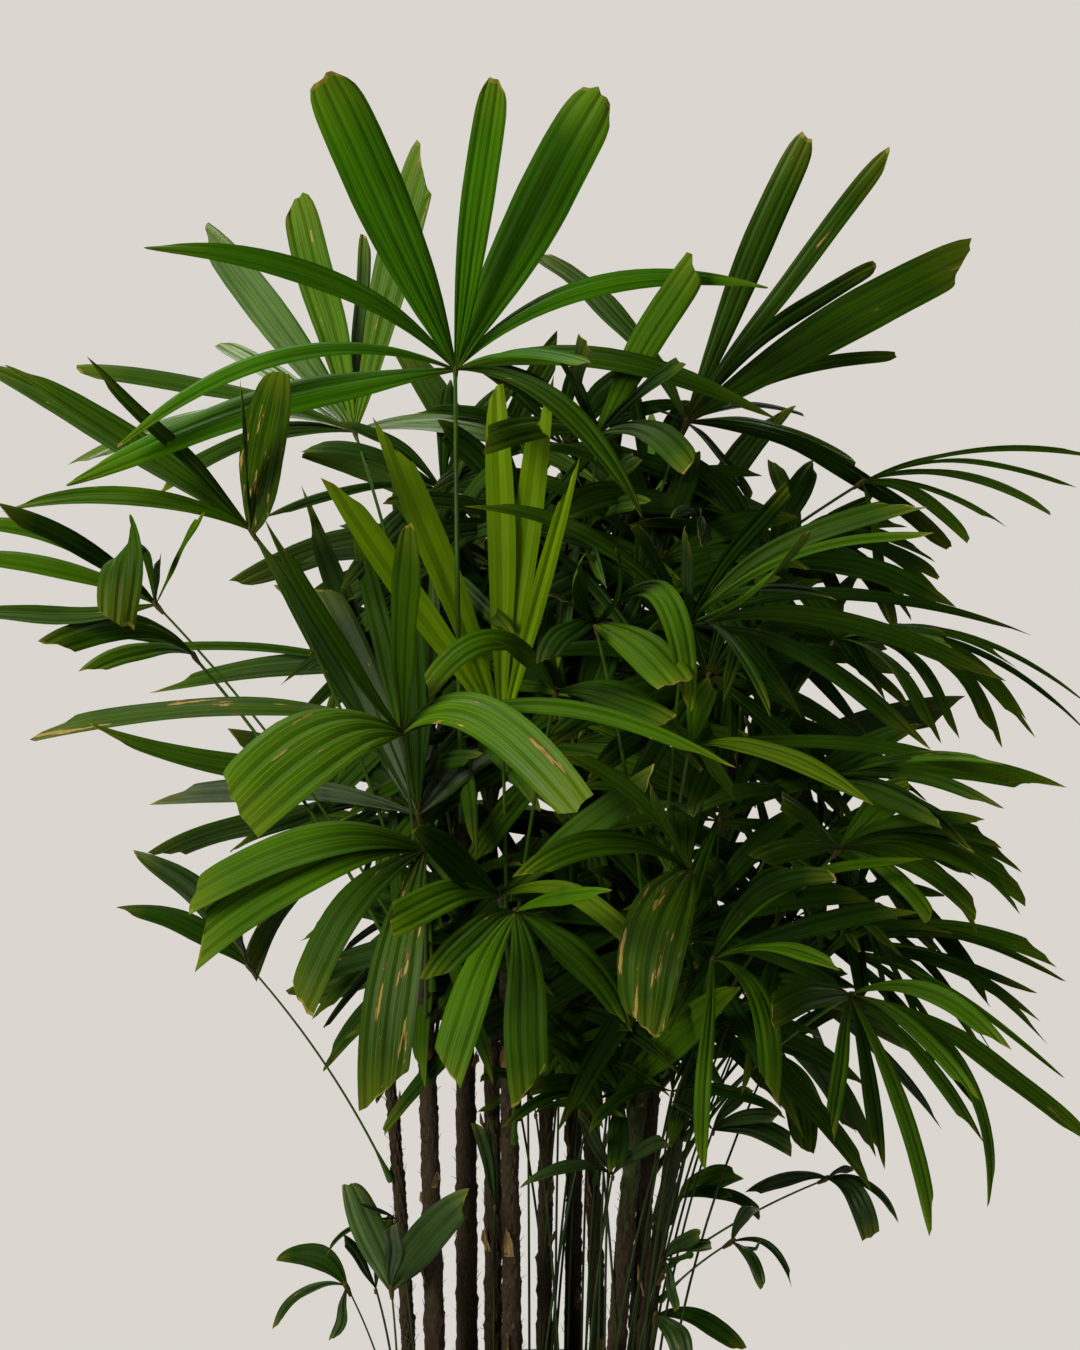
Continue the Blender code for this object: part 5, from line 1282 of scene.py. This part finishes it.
def drawUp(name, sides, rings):
    # A disc whose edge is extruded and scaled from ring to ring and then closed
    deselectAll()
    radius, height = rings[0]
    bpy.ops.mesh.primitive_circle_add(vertices=sides, radius=radius, fill_type="NGON", location=(0, 0, height))
    piece = bpy.context.active_object
    piece.name = name
    bpy.ops.object.transform_apply(location=True)
    bpy.ops.object.mode_set(mode="EDIT")
    bpy.ops.mesh.select_mode(type="EDGE")
    bpy.ops.mesh.select_all(action="SELECT")
    for (radius, height), (after, above) in zip(rings, rings[1:]):
        bpy.ops.mesh.extrude_edges_move(TRANSFORM_OT_translate={"value": (0, 0, above - height)})
        bpy.ops.transform.resize(value=(after / radius, after / radius, 1), center_override=(0, 0, above))
    bpy.ops.mesh.edge_face_add()
    bpy.ops.mesh.select_all(action="SELECT")
    bpy.ops.mesh.normals_make_consistent(inside=False)
    bpy.ops.object.mode_set(mode="OBJECT")
    return piece


def makePot():
    piece = drawUp("pot.tub", pot["sides"], pot["rings"])
    finish, tree, shader = newFinish("potShell")
    places = tree.nodes.new("ShaderNodeTexCoord").outputs["Object"]
    grain = addNoise(tree, places, (1, 1, 1), 1400, 3, 0.6)
    dust = addNoise(tree, places, (1, 1, 2.2), 14, 4, 0.6)
    colour = blendColours(tree, mapValue(tree, dust, 0.45, 0.75, 0, 0.35), linear((34, 34, 35)), linear((58, 55, 50)))
    tree.links.new(colour, shader.inputs["Base Color"])
    tree.links.new(mapValue(tree, dust, 0.35, 0.7, 0.38, 0.55), shader.inputs["Roughness"])
    addBump(tree, shader, grain, 0.25, 0.0002)
    piece.data.materials.append(finish)
    smooth(piece, 35)
    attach(piece, "root")
    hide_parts("pot")


# Soil: a disc of potting mix with crumbs of bark, perlite and dry leaf bits
soil = {
    "sides": 64, "rings": ((0.1285, 0.0085), (0.1708, 0.271), (0.1708 * 0.975, 0.2735)), "ringGap": 0.0052,
    "innermost": 0.006, "rise": 0.0016, "bumpsFrom": 0.272, "bumpScale": 260,
    "crumbs": 900, "crumb": (0.0014, 0.0044), "crumbsWithin": 0.162, "crumbsAt": 0.2745, "kinds": (5, 6, 1),
}


def makeSoil():
    rings = list(soil["rings"])
    while rings[-1][0] > soil["innermost"]:
        rings.append((rings[-1][0] - soil["ringGap"], rings[-1][1]))
    piece = drawUp("soil.bed", soil["sides"], rings)
    chance = Random(60)
    for vert in piece.data.vertices:
        if vert.co.z > soil["bumpsFrom"]:
            x, y = vert.co.x * soil["bumpScale"], vert.co.y * soil["bumpScale"]
            bumps = sin(x * 0.9 + sin(y * 1.3)) * sin(y + sin(x * 0.7)) * 0.6
            vert.co.z += soil["rise"] * (bumps + chance.uniform(-0.5, 0.5))
    finish = speckledFinish("pottingMix", (20, 15, 11), (62, 47, 34), 0.92, 420, 0.9, 0.0015)
    piece.data.materials.append(finish)
    smooth(piece, 30)
    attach(piece, "root")
    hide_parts("soil")
    crumbs = Spray("soil.crumbs", 61)
    chance = crumbs.chance
    kinds = [
        speckledFinish("barkCrumb", (52, 34, 22), (96, 66, 42), 0.9),
        speckledFinish("darkCrumb", (22, 17, 13), (48, 37, 28), 0.95),
        speckledFinish("paleCrumb", (150, 142, 126), (196, 190, 176), 0.9),
    ]
    deselectAll()
    bpy.ops.mesh.primitive_ico_sphere_add(subdivisions=1, radius=1)
    ball = bpy.context.active_object
    corners = np.array([vert.co for vert in ball.data.vertices])
    faces = [tuple(face.vertices) for face in ball.data.polygons]
    bpy.data.objects.remove(ball)
    for _ in range(soil["crumbs"]):
        far, angle = soil["crumbsWithin"] * sqrt(chance.random()), chance.uniform(0, 2 * pi)
        size = chance.uniform(*soil["crumb"])
        angleRound = chance.uniform(0, 6)
        axis = Vector((chance.random(), chance.random(), chance.random() + 0.1))
        turn = np.array(Matrix.Rotation(angleRound, 3, axis))
        shape = corners * np.array((1.0, chance.uniform(0.4, 0.9), chance.uniform(0.3, 0.8)))
        shape = shape * np.array([[chance.uniform(0.75, 1.2)] for _ in corners])
        place = np.array((far * cos(angle), far * sin(angle), soil["crumbsAt"] + size * 0.25))
        points = shape @ turn.T * size + place
        crumbs.addPlain(points, faces, chance.choices(kinds, soil["kinds"])[0])
    crumbs.build()


makePot()
makeSoil()
print("pot and soil ready")

# Floor: pale, and fading into the backdrop away from the pot
floor = {"radius": 1.35, "colour": (0.70, 0.68, 0.66), "glow": 0.12, "fadeFrom": 0.25, "fadeTo": 1.10}


def makeFloor():
    deselectAll()
    bpy.ops.mesh.primitive_circle_add(vertices=128, radius=floor["radius"], fill_type="NGON", location=(0, 0, 0))
    piece = bpy.context.active_object
    piece.name = "studioFloor"
    finish, tree, shader = newFinish("paleFloor")
    shader.inputs["Base Color"].default_value = (*floor["colour"], 1)
    shader.inputs["Emission Color"].default_value = (*studio["backdrop"], 1)
    shader.inputs["Emission Strength"].default_value = floor["glow"]
    shader.inputs["Roughness"].default_value = 0.9
    places = tree.nodes.new("ShaderNodeTexCoord").outputs["Object"]
    length = addNode(tree, "ShaderNodeVectorMath", operation="LENGTH")
    tree.links.new(places, length.inputs[0])
    glow = addNode(tree, "ShaderNodeEmission")
    glow.inputs["Color"].default_value = (*studio["backdrop"], 1)
    mix = tree.nodes.new("ShaderNodeMixShader")
    tree.links.new(mapValue(tree, length.outputs["Value"], floor["fadeFrom"], floor["fadeTo"]), mix.inputs[0])
    tree.links.new(shader.outputs[0], mix.inputs[1])
    tree.links.new(glow.outputs[0], mix.inputs[2])
    tree.links.new(mix.outputs[0], tree.nodes["Material Output"].inputs["Surface"])
    piece.data.materials.append(finish)


makeFloor()
